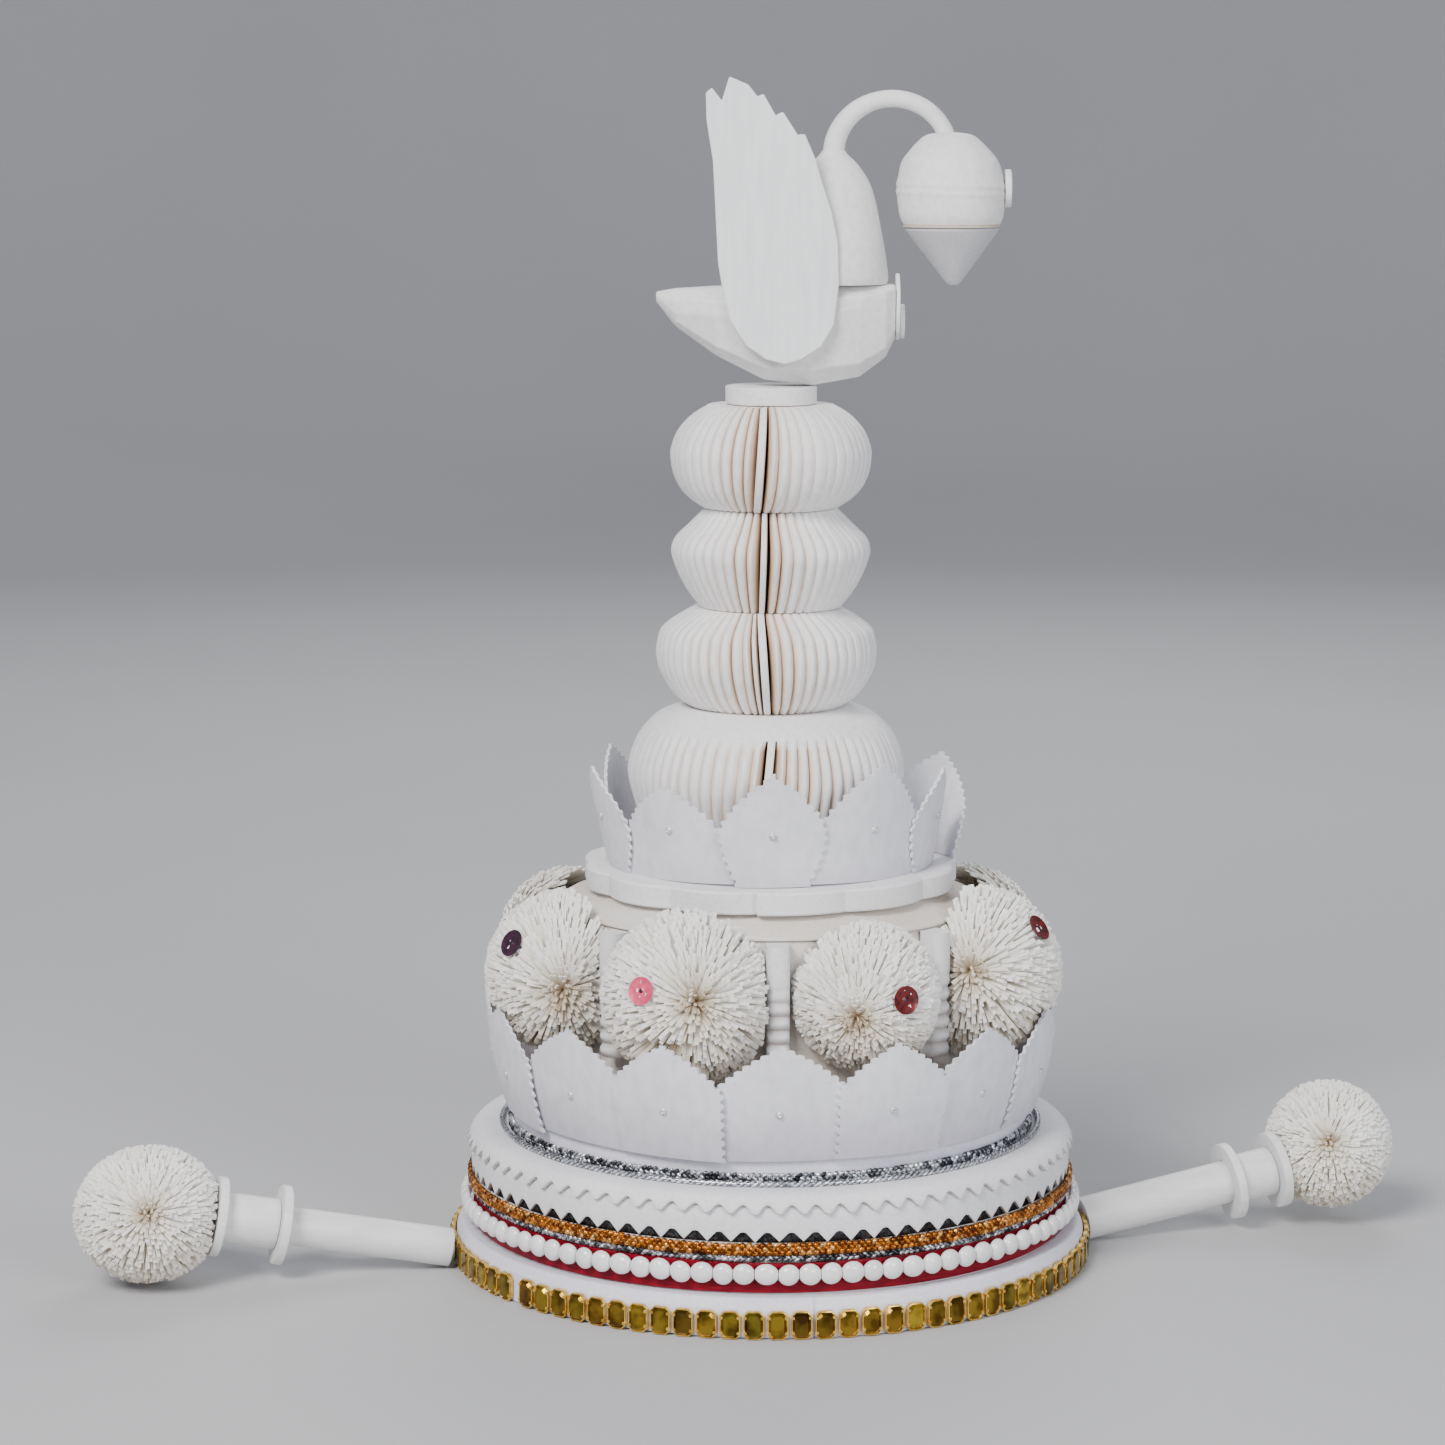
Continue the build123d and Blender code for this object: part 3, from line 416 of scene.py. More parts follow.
# Braids: a thin silver and black one, then a thicker copper one, both of plaited metallic thread
# with glitter, glued between the ribbon and the teeth of the rim.
# One bulge of thread in a plait is a small spindle lying along y.
stitch_rings = []
for share in (-1, -0.5, 0, 0.5, 1):
    stitch_rings.append([(x, share, z) for x, z in circle(math.sqrt(max(0.04, 1 - share * share)), 6)])
stitch_points, stitch_faces = joined(stitch_rings)


def plait(name, node, material, rows, ring_radius, count, length, thick, slope, seed, sway=0.0):
    """Rows of slanting stitches round the rim; rows are (height, slant way)."""
    toss = np.random.default_rng(seed)
    frames = []
    for level, way in rows:
        for number in range(count):
            angle = 2 * math.pi * (number + 0.5 * (way > 0)) / count
            out, side = upright(angle)
            slant = slope * way + toss.normal(0, 0.1)
            along = side * math.cos(slant) + Vector((0, 0, math.sin(slant)))
            bulk = thick * toss.uniform(0.88, 1.1)
            origin = out * (ring_radius + toss.normal(0, 0.04))
            origin.z = level + toss.normal(0, 0.05) + sway * math.sin(7 * angle)
            frames.append([origin, out * bulk, along * length, out.cross(along) * bulk])
    tones = np.repeat(toss.uniform(0, 1, len(frames)), len(stitch_points))
    make_piece(name, *copies(stitch_points, stitch_faces, frames), [material], [node], sharp=60, tones=tones)


def glitter(name, *colours):
    """Metallic thread with loose flakes: each stitch has its own tone, and each flake its own brightness, the
    brightest painted past white as a painted glint.
    """
    finish = Finish(name, rough=0.3, metal=0.85)
    flakes = finish.add("ShaderNodeTexVoronoi", Vector=finish.place, Scale=1500.0)
    split = finish.add("ShaderNodeSeparateColor", Color=flakes.outputs["Color"])
    own = finish.colours(finish.tone(), *colours)
    # Painted glint: the brightest flakes are painted brighter than white.
    flake_glint = finish.colours(split.outputs["Red"], (0.0, (0.3, 0.3, 0.3)), (0.55, (0.8, 0.8, 0.8)),
                           (0.9, (1.6, 1.6, 1.6)))
    finish.set("Base Color", finish.multiplied(own, flake_glint))
    finish.relief(split.outputs["Green"], 0.1)
    return finish.material


silver = glitter("silver_thread", (0.0, (0.03, 0.03, 0.035)), (0.35, (0.2, 0.21, 0.23)),
                 (0.6, (0.6, 0.62, 0.66)), (1.0, (0.95, 0.96, 1.0)))
copper = glitter("copper_thread", (0.0, (0.12, 0.03, 0.005)), (0.4, (0.38, 0.12, 0.015)),
                 (0.75, (0.62, 0.22, 0.03)), (1.0, (0.85, 0.45, 0.15)))
plait("thin_braid", "thin_silver_braid", silver, [(22.35, 1), (23.15, -1)], ring_radius=93.05, count=330,
      length=1.1, thick=0.62, slope=0.5, seed=21)
plait("copper_plait", "copper_braid", copper, [(24.55, 1), (25.65, -1), (26.65, 1)], ring_radius=93.7,
      count=300, length=1.25, thick=0.95, slope=0.55, seed=22, sway=0.15)


# Rim: a bulging strip of pith with sharp teeth along its lower edge, and over it a second strip whose
# softer teeth turn down over the shoulder. Both are cut with pinking shears and bent over the hoop.
rim_pith = pith("rim_pith", (0.85, 0.845, 0.87), (0.79, 0.785, 0.81), (0.5, 0.4, 0.33))
tooth_count = 83
steps_a_tooth = 8
rows_across = 14
line_samples = 60


def smooth_run(line, samples):
    """The line resampled at equal steps through soft corners, and its length."""
    fine = []
    for index in range(len(line) - 1):
        p0 = Vector(line[max(index - 1, 0)])
        p1 = Vector(line[index])
        p2 = Vector(line[index + 1])
        p3 = Vector(line[min(index + 2, len(line) - 1)])
        for step in range(12):
            t = step / 12
            fine.append(0.5 * ((2 * p1) + (p2 - p0) * t + (2 * p0 - 5 * p1 + 4 * p2 - p3) * t * t
                               + (3 * p1 - p0 - 3 * p2 + p3) * t ** 3))
    fine.append(Vector(line[-1]))
    reach = [0.0]
    for before, after in zip(fine, fine[1:]):
        reach.append(reach[-1] + (after - before).length)
    total = reach[-1]
    result = []
    for step in range(samples):
        want = total * step / (samples - 1)
        result.append(tuple(np.interp(want, reach, [spot[axis] for spot in fine]) for axis in (0, 1)))
    return result, total


def pinked_strip(name, node, line, thickness, depth, tooth, seed):
    """A strip bent round the rim whose last edge is cut in teeth; tooth gives a tooth's outline."""
    fine, total = smooth_run(line, line_samples)
    places = np.linspace(0, 1, line_samples)
    face = np.array(fine)
    slope = np.gradient(face, axis=0)
    slope /= np.linalg.norm(slope, axis=1, keepdims=True)
    back = face + np.stack([slope[:, 1], -slope[:, 0]], axis=1) * thickness
    sizes = np.random.default_rng(seed).uniform(0.85, 1.05, tooth_count)
    steps = tooth_count * steps_a_tooth
    rings = []
    for step in range(steps):
        number, part = divmod(step, steps_a_tooth)
        cut = 1 - depth / total * (1 - tooth(part / steps_a_tooth) * sizes[number])
        sweep = np.linspace(0, cut, rows_across)
        out = upright(2 * math.pi * step / steps)[0]
        ring = []
        for side, order in ((face, sweep), (back, sweep[::-1])):
            radii = np.interp(order, places, side[:, 0])
            heights = np.interp(order, places, side[:, 1])
            ring += [(radius * out.x, radius * out.y, height) for radius, height in zip(radii, heights)]
        rings.append(ring)
    # The cut edge and the back of the strip are painted darker, a painted shade under the teeth.
    tones = ([0.0] * (rows_across - 1) + [0.25, 0.5] + [0.3] * (rows_across - 1)) * steps
    make_piece(name, *joined(rings, "loop"), [rim_pith], [node], sharp=40, tones=tones)


def sharp_tooth(share):
    return max(0.0, 1 - abs(share - 0.5) * 2.5)


def soft_tooth(share):
    return 0.5 - 0.5 * math.cos(2 * math.pi * share)


dark_glitter = glitter("dark_glitter", (0.0, (0.05, 0.05, 0.055)), (0.6, (0.2, 0.2, 0.22)),
                       (1.0, (0.5, 0.5, 0.52)))
backing_outline = [(92.03, 27.2), (92.1, 27.2), (92.1, 31.6), (92.03, 31.6)]
make_piece("tooth_backing", *turned(backing_outline, 180), [dark_glitter])
rim_line = [(85.2, 40.3), (88.5, 40.3), (91.2, 39.3), (92.9, 36.6), (93.35, 33.0), (93.3, 27.5)]
pinked_strip("rim_strip", "rim_band", rim_line, thickness=1.2, depth=3.1, tooth=sharp_tooth, seed=3)
shoulder_line = [(80.4, 41.4), (84.5, 41.55), (88.6, 41.6), (91.8, 40.8), (93.9, 38.5), (94.7, 36.2)]
pinked_strip("shoulder_strip", "rim_shoulder", shoulder_line, thickness=1.1, depth=3.0, tooth=soft_tooth,
             seed=4)


# Silver trims on the ledge: a twisted silver cord, and inside it a wider zigzag braid of silver and
# black thread round the foot of the drum.
cord_ring = 83.75
cord_level = 42.4
cord_radius = 0.9
cord_twists = 260
cord_steps = 4 * cord_twists
cord_rings = []
cord_groove_shade = []
for step in range(cord_steps):
    angle = 2 * math.pi * step / cord_steps
    ring = []
    for x, z in circle(1, 10):
        strand = math.cos(3 * math.atan2(z, x) - angle * cord_twists)
        swell = cord_radius * (0.86 + 0.14 * strand)
        radius = cord_ring + swell * x
        ring.append((radius * math.cos(angle), radius * math.sin(angle), cord_level + swell * z))
        # Between the strands the cord is painted darker, a painted shade in the grooves of the twist.
        cord_groove_shade.append(0.62 + 0.38 * strand)
    cord_rings.append(ring)
make_piece("silver_twist", *joined(cord_rings, "loop"), [silver], ["silver_cord"], sharp=60,
           tones=cord_groove_shade)
plait("zigzag_braid", "silver_braid", silver, [(42.1, 1), (43.2, -1), (44.3, 1)], ring_radius=81.1,
      count=290, length=1.15, thick=0.75, slope=0.8, seed=23)


# Drum: hoops of pasted pith sheet, hollow inside. A wide foot draws in to an upright wall, and a
# shallow lid slopes up to the disc. Shoulder, wall and lid are painted a warm cream, a painted shade
# for where they lie deep between the pompoms and under the disc.
shaded_drum_pith = pith("shaded_drum_pith", (0.8, 0.76, 0.71), (0.72, 0.65, 0.57), (0.45, 0.33, 0.22))
for name, node, material, outline in (
        ("drum_foot_hoop", "drum_foot", foot_pith, [(80.2, 39.1), (80.2, 52.0), (78.2, 52.0), (78.2, 39.1)]),
        ("drum_shoulder_hoop", "drum_shoulder", shaded_drum_pith,
         [(80.2, 52.2), (64, 62.0), (62, 62.0), (78.2, 52.2)]),
        ("drum_wall_hoop", "drum_wall", shaded_drum_pith, [(64, 62.2), (64, 110.7), (62, 110.7), (62, 62.2)]),
        ("drum_lid_round", "drum_lid", shaded_drum_pith, [(0.01, 110.95), (64.8, 110.95), (64.8, 111.9), (58, 114.6),
                                                   (52, 116.95), (0.01, 116.95)])):
    make_piece(name, *turned(rounded(outline, 0.3), 180), [material], [node])


# Lower leaves: sixteen pinked leaves of thin pith round the drum's foot, each side under or over the
# next, swelling out like a bowl as they rise. Each is pinned at its middle.
leaf_pith = pith("leaf_pith", (0.83, 0.83, 0.875), (0.78, 0.78, 0.83), (0.6, 0.57, 0.62), rough=0.5,
                 stretch=(1, 1, 0.6), grain=300.0, grain_height=0.02)
leaf_thickness = 1.0
leaf_columns = 8
edge_samples = 240


def leaf_rows(height, profile, pitch=3.0, depth=1.1):
    """The edge of a leaf up one side: (rise on the middle line, rise and half width at the edge).
    profile is (share of height, half width); the teeth are cut square to the edge."""
    line, total = smooth_run([(half, share * height) for share, half in profile], edge_samples)
    line = np.array(line)
    places = np.linspace(0, total, edge_samples)
    teeth = round(total / pitch)
    rows = []
    for step in range(4 * teeth + 1):
        place = total * step / (4 * teeth)
        half, rise, half_before, rise_before, half_after, rise_after = [
            np.interp(place + shift, places, line[:, column])
            for shift in (0, -0.4, 0.4) for column in (0, 1)]
        along_half = half_after - half_before
        along_rise = rise_after - rise_before
        size = math.hypot(along_half, along_rise) or 1.0
        cut = depth * (0.0, 0.15, 1.0, 0.85)[step % 4]
        rows.append((rise, rise + cut * along_half / size, max(0.3, half - cut * along_rise / size)))
    return rows


def leaf_sheet(rows, radius, lean, bow, cup):
    """A thin leaf standing on a ring, facing out along x; lean and bow shape its rise, cup its hollow."""
    height = rows[-1][0]
    outer = []
    for middle_rise, edge_rise, half in rows:
        for column in range(leaf_columns + 1):
            across = -1 + 2 * column / leaf_columns
            rise = middle_rise + (edge_rise - middle_rise) * across * across
            share = rise / height
            reach = radius + leaf_thickness + lean * (2 * bow * share + (1 - 2 * bow) * share * share)
            y = across * half
            outer.append((math.sqrt(max(1.0, reach * reach - y * y)) + cup * (y / 16) ** 2 * share, y, rise))
    inner = [(x - leaf_thickness, y * (1 - leaf_thickness / (x + 1)), z) for x, y, z in outer]
    size = leaf_columns + 1
    last = (len(rows) - 1) * size
    inside = len(outer)
    faces = []
    for row in range(len(rows) - 1):
        for a in range(row * size, row * size + leaf_columns):
            faces.append((a, a + 1, a + size + 1, a + size))
            faces.append((inside + a, inside + a + size, inside + a + size + 1, inside + a + 1))
    edge = [*range(0, last, size), *range(last, last + leaf_columns),
            *range(last + leaf_columns, leaf_columns, -size), *range(leaf_columns, 0, -1)]
    for a, b in zip(edge, edge[1:] + edge[:1]):
        faces.append((a, inside + a, inside + b, b))
    return outer + inner, faces


def spun(degrees, axis):
    """A turn about an axis."""
    return Matrix.Rotation(math.radians(degrees), 4, axis)


def moved(points, place):
    """Points carried to a place."""
    return [tuple(place @ Vector(point)) for point in points]


def stood(points, turn, level, twist=0.0, roll=0.0):
    """Leaf points turned to their place in the ring; roll tips the leaf sideways on its foot."""
    spin = Matrix.Rotation(around(turn), 4, "Z") @ Matrix.Translation((0, 0, level))
    pivot = Matrix.Translation((points[0][0], 0, 0))
    sway = pivot @ spun(twist, "Z") @ spun(roll, "X")
    return moved(points, spin @ sway @ pivot.inverted())


# A small domed pin with a dimple. Each row: share of its radius, how far it stands out.
pin_radius = 1.15
pin_points, pin_faces = joined([[(out, y, z) for y, z in circle(pin_radius * share, 12)] for share, out in (
    (1.0, 0.0), (1.0, 0.36), (0.8, 0.72), (0.45, 0.9), (0.2, 0.675))])
pin_metal = Finish("pin_metal", rough=0.35, metal=0.4)
pin_metal.set("Base Color", pin_metal.colours(pin_metal.speckle(900.0), (0.3, (0.5, 0.5, 0.52)),
                                              (0.7, (0.8, 0.8, 0.82))))


def pinned(reach, rise, turn, level):
    """A pin at its place in a leaf."""
    return stood([(x + reach, y, z + rise) for x, y, z in pin_points], turn, level), pin_faces


def leaf_ring(leaves, name, tones, node, pins, pins_name):
    """The leaves of a ring as one piece, and their pins as another."""
    make_piece(name, *combined(leaves)[:2], [leaf_pith], [node], tones=tones)
    make_piece(pins_name, *combined(pins)[:2], [pin_metal.material], sharp=50)


lower_count = 16
lower_radius = 81.45
lower_foot = 49.0
lower_height = 35.3
lower_pin_rise = 15.0
lower_profile = [(0.0, 15.6), (0.3, 16.4), (0.6, 16.9), (0.68, 15.9), (0.78, 12.4), (0.88, 8.0), (0.95, 3.8),
                 (1.0, 0.9)]
leaves = []
leaf_foot_shade = []
pins = []
for number in range(lower_count):
    turn = 1.2 + number * 360 / lower_count
    # Every second leaf lies over its neighbours, and those under it reach further behind it.
    over, wider = (0.9, 1.2) if number % 2 else (-0.4, 3.2)
    lean = 7.0 + chance.normal(0, 0.2)
    profile = [(share, half + wider * min(1.0, (1 - share) / 0.4)) for share, half in lower_profile]
    rows = leaf_rows(lower_height + chance.normal(0, 0.5), profile)
    points, faces = leaf_sheet(rows, lower_radius + over, lean, bow=1.0, cup=-0.6)
    # Each leaf is painted darker towards its foot, a painted shade.
    leaf_foot_shade.extend([max(0.0, 0.62 - 0.036 * z) for x, y, z in points])
    leaves.append((stood(points, turn + chance.normal(0, 0.3), lower_foot + 0.05 + chance.normal(0, 0.2),
                         chance.normal(0, 1.0), chance.normal(0, 1.2)), faces))
    pins.append(pinned(lower_radius + over + 0.95 + lean * 0.66, lower_pin_rise, turn, lower_foot))
leaf_ring(leaves, "lower_leaves", leaf_foot_shade, "lower_leaf_collar", pins, "lower_pins")


# Pompoms: balls of pith strip cut into a fringe of flat fingers and rolled up tight. The fingers lie
# back from the middle of each ball's face like petals. They are painted dark brown towards their
# roots, a painted shade between them.
fringe = Finish("fringe_pith", rough=0.65)
# Painted shade: the colour runs from dark brown at a finger's root to white at its tip.
finger = fringe.colours(fringe.tone(), (0.0, (0.22, 0.14, 0.07)), (0.3, (0.52, 0.41, 0.28)),
                        (0.6, (0.80, 0.74, 0.63)), (0.85, (0.91, 0.885, 0.84)), (1.0, (0.93, 0.92, 0.895)))
cloud = fringe.colours(fringe.speckle(60.0, 3.0), (0.35, (0.93, 0.92, 0.915)), (0.65, (1.0, 1.0, 1.0)))
fringe.set("Base Color", fringe.multiplied(finger, cloud))
fringe.set("Specular IOR Level", 0.3)
# The lower leaves' inner face, as (height, radius).
leaf_face = np.array([(49, 81.3), (57.9, 84.4), (66.8, 86.6), (75.7, 87.8), (84.6, 88.3)])
# The edge of the drum's lid and of the disc over it, as (height, radius).
lid_face = np.array([(111.0, 65.2), (112.2, 65.2), (117.2, 59.0), (117.21, 60.3)])
wall_face = 64.4
strip_face = 72.6
strip_side = 3.8
# Each row: turn round the drum, size, and where its sequin lies from its middle (turn, lift).
kadam_rows = [(-66.5, 25.4, 20.0, 28.0), (-21.5, 26.4, -11.0, 14.0), (24.0, 22.6, 6.0, 7.5),
              (68.0, 26.4, -10.0, 36.0), (113.0, 23.5, 4.0, 8.0), (158.0, 22.8, -6.0, 3.0),
              (203.0, 24.0, 8.0, -4.0), (248.5, 23.0, -5.0, 10.0)]
kadam_ring = 67.5
kadam_level = 94.0
turns = [row[0] for row in kadam_rows] + [kadam_rows[0][0] + 360]
strip_turns = [(left + right) / 2 for left, right in zip(turns, turns[1:])]


def clear_of_drum(x, y, z):
    """True where a finger may be: off the drum, lid, disc and strips, and inside the leaves."""
    radius = np.hypot(x, y)
    clear = (radius > wall_face) | (z > lid_face[0, 0])
    clear &= (z < lid_face[0, 0]) | (radius > np.interp(z, *lid_face.T))
    clear &= (z > leaf_face[-1, 0]) | (radius < np.interp(z, *leaf_face.T) - 0.4)
    for turn in strip_turns:
        angle = around(turn)
        along = x * math.cos(angle) + y * math.sin(angle)
        across = -x * math.sin(angle) + y * math.cos(angle)
        clear &= (along < 0) | (along > strip_face) | (np.abs(across) > strip_side)
    return clear


def clear_reach(centre, heading, radius, stretch, allowed, start):
    """How far out along each heading a finger stays clear, as a share of the radius."""
    reach = np.full(len(heading), start)
    going = np.ones(len(heading), dtype=bool)
    for share in np.linspace(start, 1.0, 25):
        spot = centre + heading * radius * share * stretch
        going &= allowed(spot[:, 0], spot[:, 1], spot[:, 2])
        reach = np.where(going, share, reach)
    return reach


def scattered(count):
    """Headings spread evenly over a ball."""
    number = np.arange(count) + 0.5
    up = 1 - 2 * number / count
    way = np.pi * (1 + 5 ** 0.5) * number
    flat = np.sqrt(1 - up * up)
    return np.stack([flat * np.cos(way), flat * np.sin(way), up], axis=1)


def straight(ways):
    """Each way at a length of one."""
    return ways / (np.linalg.norm(ways, axis=-1, keepdims=True) + 1e-9)


heart_size = 0.66
bare_level = 108
heart_rings = [[(math.sin(down) * x, math.sin(down) * y, math.cos(down)) for x, y in circle(1, 24)]
               for down in np.linspace(0.02, math.pi - 0.02, 13)]
heart_ways, heart_faces = joined(heart_rings)
heart_ways = np.array(heart_ways)
# Each level of a finger: share of its length, degrees nearer the pole than its tip, half breadth,
# half thickness, tone (low at the root, for painted shade).
finger_levels = [(0.62, 44, 0.32, 0.2, 0.0), (0.86, 24, 0.56, 0.26, 0.55), (1.0, 0, 0.56, 0.26, 1.0)]


def pompom(name, node, centre, radius, count, pole, allowed, seed, stretch=(1, 1, 1)):
    """A ball of flat fingers that lie back from its pole; stretch draws the ball out."""
    toss = np.random.default_rng(seed)
    pole = straight(np.array(pole, dtype=float))
    centre = np.array(centre, dtype=float)
    stretch = np.array(stretch, dtype=float)
    tips = straight(scattered(count) + toss.normal(0, 0.025, (count, 3)))
    across = straight(np.cross(tips, pole))
    toward = np.cross(across, tips)
    from_pole = np.arccos(np.clip(tips @ pole, -1, 1))
    reach = clear_reach(centre, tips, radius, stretch, allowed, 0.3)
    trim = np.minimum(reach, toss.normal(0.985, 0.012, count))
    comb_share = toss.uniform(0.75, 1.2, count)
    line = []
    for share, comb, half, thick, tone in finger_levels:
        back = np.minimum(np.radians(comb) * comb_share, 0.85 * from_pole)[:, None]
        way = tips * np.cos(back) + toward * np.sin(back)
        line.append(centre + way * (radius * share * trim)[:, None] * stretch)
    line = np.array(line)
    keep = trim > 0.55
    for spot in line:
        keep &= allowed(spot[:, 0], spot[:, 1], spot[:, 2])
    line, across, trim, from_pole = line[:, keep], across[keep], trim[keep], from_pole[keep]
    count = len(across)
    roll = toss.normal(0, 0.3, (count, 1))
    size = toss.uniform(0.8, 1.15, (count, 1))
    own = toss.normal(0, 0.08, count)
    # Fingers near the pole are painted darker, a painted shade deep among them, and those that face
    # down are painted darker as standing in shade.
    shade = 0.55 * np.exp(-(from_pole / 0.34) ** 2) + 0.36 * np.clip(-tips[keep][:, 2] + 0.15, 0, 1) - own
    corners = []
    tones = []
    for level, (share, comb, half, thick, tone) in enumerate(finger_levels):
        along = straight(line[min(level + 1, 2)] - line[max(level - 1, 0)])
        up = straight(np.cross(along, across))
        broad = across * np.cos(roll) + up * np.sin(roll)
        thin = up * np.cos(roll) - across * np.sin(roll)
        for a, b in ((-1, -1), (1, -1), (1, 1), (-1, 1)):
            corners.append(line[level] + broad * (a * half * size) + thin * (b * thick * size))
            tones.append(np.clip(tone * trim - shade, 0, 1))
    points = np.stack(corners, axis=1).reshape(-1, 3)
    tones = np.stack(tones, axis=1).reshape(-1)
    one_finger = np.array(joined([[0] * 4] * 3, "none")[1] + [(3, 2, 1, 0), (8, 9, 10, 11)])
    faces = (one_finger[None] + (np.arange(count) * 12)[:, None, None]).reshape(-1, 4).tolist()
    reach = np.minimum(clear_reach(centre, heart_ways, radius, stretch, allowed, 0.02), heart_size)
    heart_points = centre + heart_ways * (radius * reach)[:, None] * stretch
    faces += [tuple(len(points) + index for index in face) for face in heart_faces]
    # Beside the disc the heart is bare, and as pale as the fingers; elsewhere it is painted dark, a
    # painted shade deep under the fingers.
    bare = centre[2] + heart_ways[:, 2] * radius * reach > bare_level
    tones = np.concatenate([tones, np.where(bare, 0.62, 0.1)])
    make_piece(name, np.concatenate([points, heart_points]), faces, [fringe.material], [node],
               sharp=30, tones=tones)


front_fingers = 2100
back_fingers = 1500
camera_right = np.array((math.cos(math.radians(shown_turn)), math.sin(math.radians(shown_turn)), 0))


def toward_camera(place):
    """The way from a place on the object to the side meant to be seen."""
    return straight(np.array(camera.location) / mm - np.array(place))


# Where the middle of each front pompom's fringe is, right of and above the middle that the camera sees.
shown_poles = ((-0.07, -0.26), (0.085, -0.07), (-0.12, -0.33), (-0.085, 0.0))
for number, (turn, size, sequin_turn, sequin_lift) in enumerate(kadam_rows):
    out = upright(around(turn))[0]
    middle = (kadam_ring * out.x, kadam_ring * out.y, kadam_level)
    pole = np.array((out.x, out.y, 0.05))
    count = back_fingers
    if number < len(shown_poles):
        right, up = shown_poles[number]
        pole = toward_camera(middle) + right * camera_right + np.array((0, 0, up))
        count = front_fingers
    pompom(f"pompom_{number + 1}", f"kadam_{number + 1}", middle, size, count, pole, clear_of_drum,
           40 + number)


# Sequins: small cupped metallic discs in plum, pink and garnet, one on each pompom. A pin through
# the middle of each goes into the fringe.
def sequin_finish(name, light, dark):
    finish = Finish(name, rough=0.42, metal=0.3)
    finish.set("Base Color", finish.colours(finish.speckle(700.0), (0.35, dark), (0.65, light)))
    finish.set("Coat Weight", 0.3)
    return finish.material


sequin_radius = 4.2
sequin_sides = 24
# Each row: share of its radius, how far it stands out. The last ones are the pin.
sequin_rows = [(0.12, 0.0), (0.12, 0.35), (0.3, 0.15), (0.75, 0.3), (1.0, 0.6), (1.0, 0.75), (0.74, 0.5),
               (0.3, 0.35), (0.16, 0.5), (0.1, 0.7)]
disc, disc_faces = joined([[(lift, y, z) for y, z in circle(sequin_radius * share, sequin_sides)]
                           for share, lift in sequin_rows])
pin_start = sequin_sides * (len(sequin_rows) - 1)
plum, pink, garnet = range(3)
sequin_finishes = [
    sequin_finish("plum_sequin", (0.06, 0.01, 0.04), (0.015, 0.004, 0.012)),
    sequin_finish("pink_sequin", (0.9, 0.12, 0.22), (0.75, 0.07, 0.16)),
    sequin_finish("garnet_sequin", (0.2, 0.004, 0.006), (0.04, 0.002, 0.003))]
sequin_parts = []
sequin_slots = []
for (turn, size, sequin_turn, sequin_lift), own in zip(
        kadam_rows, (plum, pink, garnet, garnet, pink, plum, garnet, pink)):
    place = (Matrix.Rotation(around(turn), 4, "Z") @ Matrix.Translation((kadam_ring, 0, kadam_level))
             @ spun(sequin_turn, "Z") @ spun(-sequin_lift, "Y") @ Matrix.Translation((size - 0.5, 0, 0)))
    sequin_parts.append((moved(disc, place), disc_faces))
    sequin_slots.extend([own if max(face) < pin_start else plum for face in disc_faces])
make_piece("sequins", *combined(sequin_parts)[:2], sequin_finishes, ["kadam_sequins"],
           sharp=40, slots=sequin_slots)


# Strips between the pompoms: half-round sticks of pith scored across like a ladder in their lower
# half, standing on the drum's wall.
strip_pith = pith("strip_pith", (0.86, 0.855, 0.86), (0.8, 0.79, 0.8), (0.5, 0.42, 0.38))
strip_back = 65.0
strip_foot = 72.8
strip_height = 37.9
strip_depth = 7.2
strip_scores = 9
score_depth = 1.1
strip_levels = 73
# Half of the stick's section: how far in from its face, how far to the side.
strip_section = [(2.4, 3.45), (0.9, 2.9), (0.1, 1.5), (0, 0)]
strip_rings = []
score_shade = []
for level in range(strip_levels):
    share = level / (strip_levels - 1)
    wave = (0.5 - 0.5 * math.cos(2 * math.pi * share * strip_scores)) ** 0.6
    scored = (1 - wave) * (1 - min(1.0, max(0.0, (share - 0.5) / 0.2)))
    face = strip_back + strip_depth - score_depth * scored
    ring = [(strip_back, -3.45)] + [(face - inward, -aside) for inward, aside in strip_section]
    ring += [(face - inward, aside) for inward, aside in strip_section[-2::-1]] + [(strip_back, 3.45)]
    strip_rings.append([(x, y, strip_foot + strip_height * share) for x, y in ring])
    # The scores are painted darker in step with their depth, a painted shade.
    score_shade.extend([scored * 0.75] * len(ring))
strip_frames = [[(0, 0, 0), *upright(around(turn)), (0, 0, 1)] for turn in strip_turns]
make_piece("scored_strips", *copies(*joined(strip_rings), strip_frames), [strip_pith], ["ladder_strips"],
           sharp=50, tones=np.tile(score_shade, len(strip_frames)))


# Disc: a thick round of pith whose edge is cut in shallow lobes. Where two lobes meet near the front,
# the right one starts with a step.
lobe_starts = (-62.0, -33.0, -4.5, 23.2, 55.0, 83.0, 110.0, 138.0, 166.0, 194.0, 222.0, 248.0, 273.0)
lobe_steps = {2: 2.4, 3: 0.4}
lobe_bulge = 2.2
disc_radius = 55.9
disc_edge = []
for index, (start, finish) in enumerate(zip(lobe_starts, lobe_starts[1:] + (lobe_starts[0] + 360,))):
    step_out = lobe_steps.get(index, 0.0)
    for step in range(14):
        share = step / 13
        bulge = lobe_bulge * (1 - (2 * share - 1) ** 2) * (1 - step_out / 3.5)
        disc_edge.append((around(start + (finish - start) * share),
                          disc_radius + bulge + step_out * (1 - share) ** 0.7))
rings = []
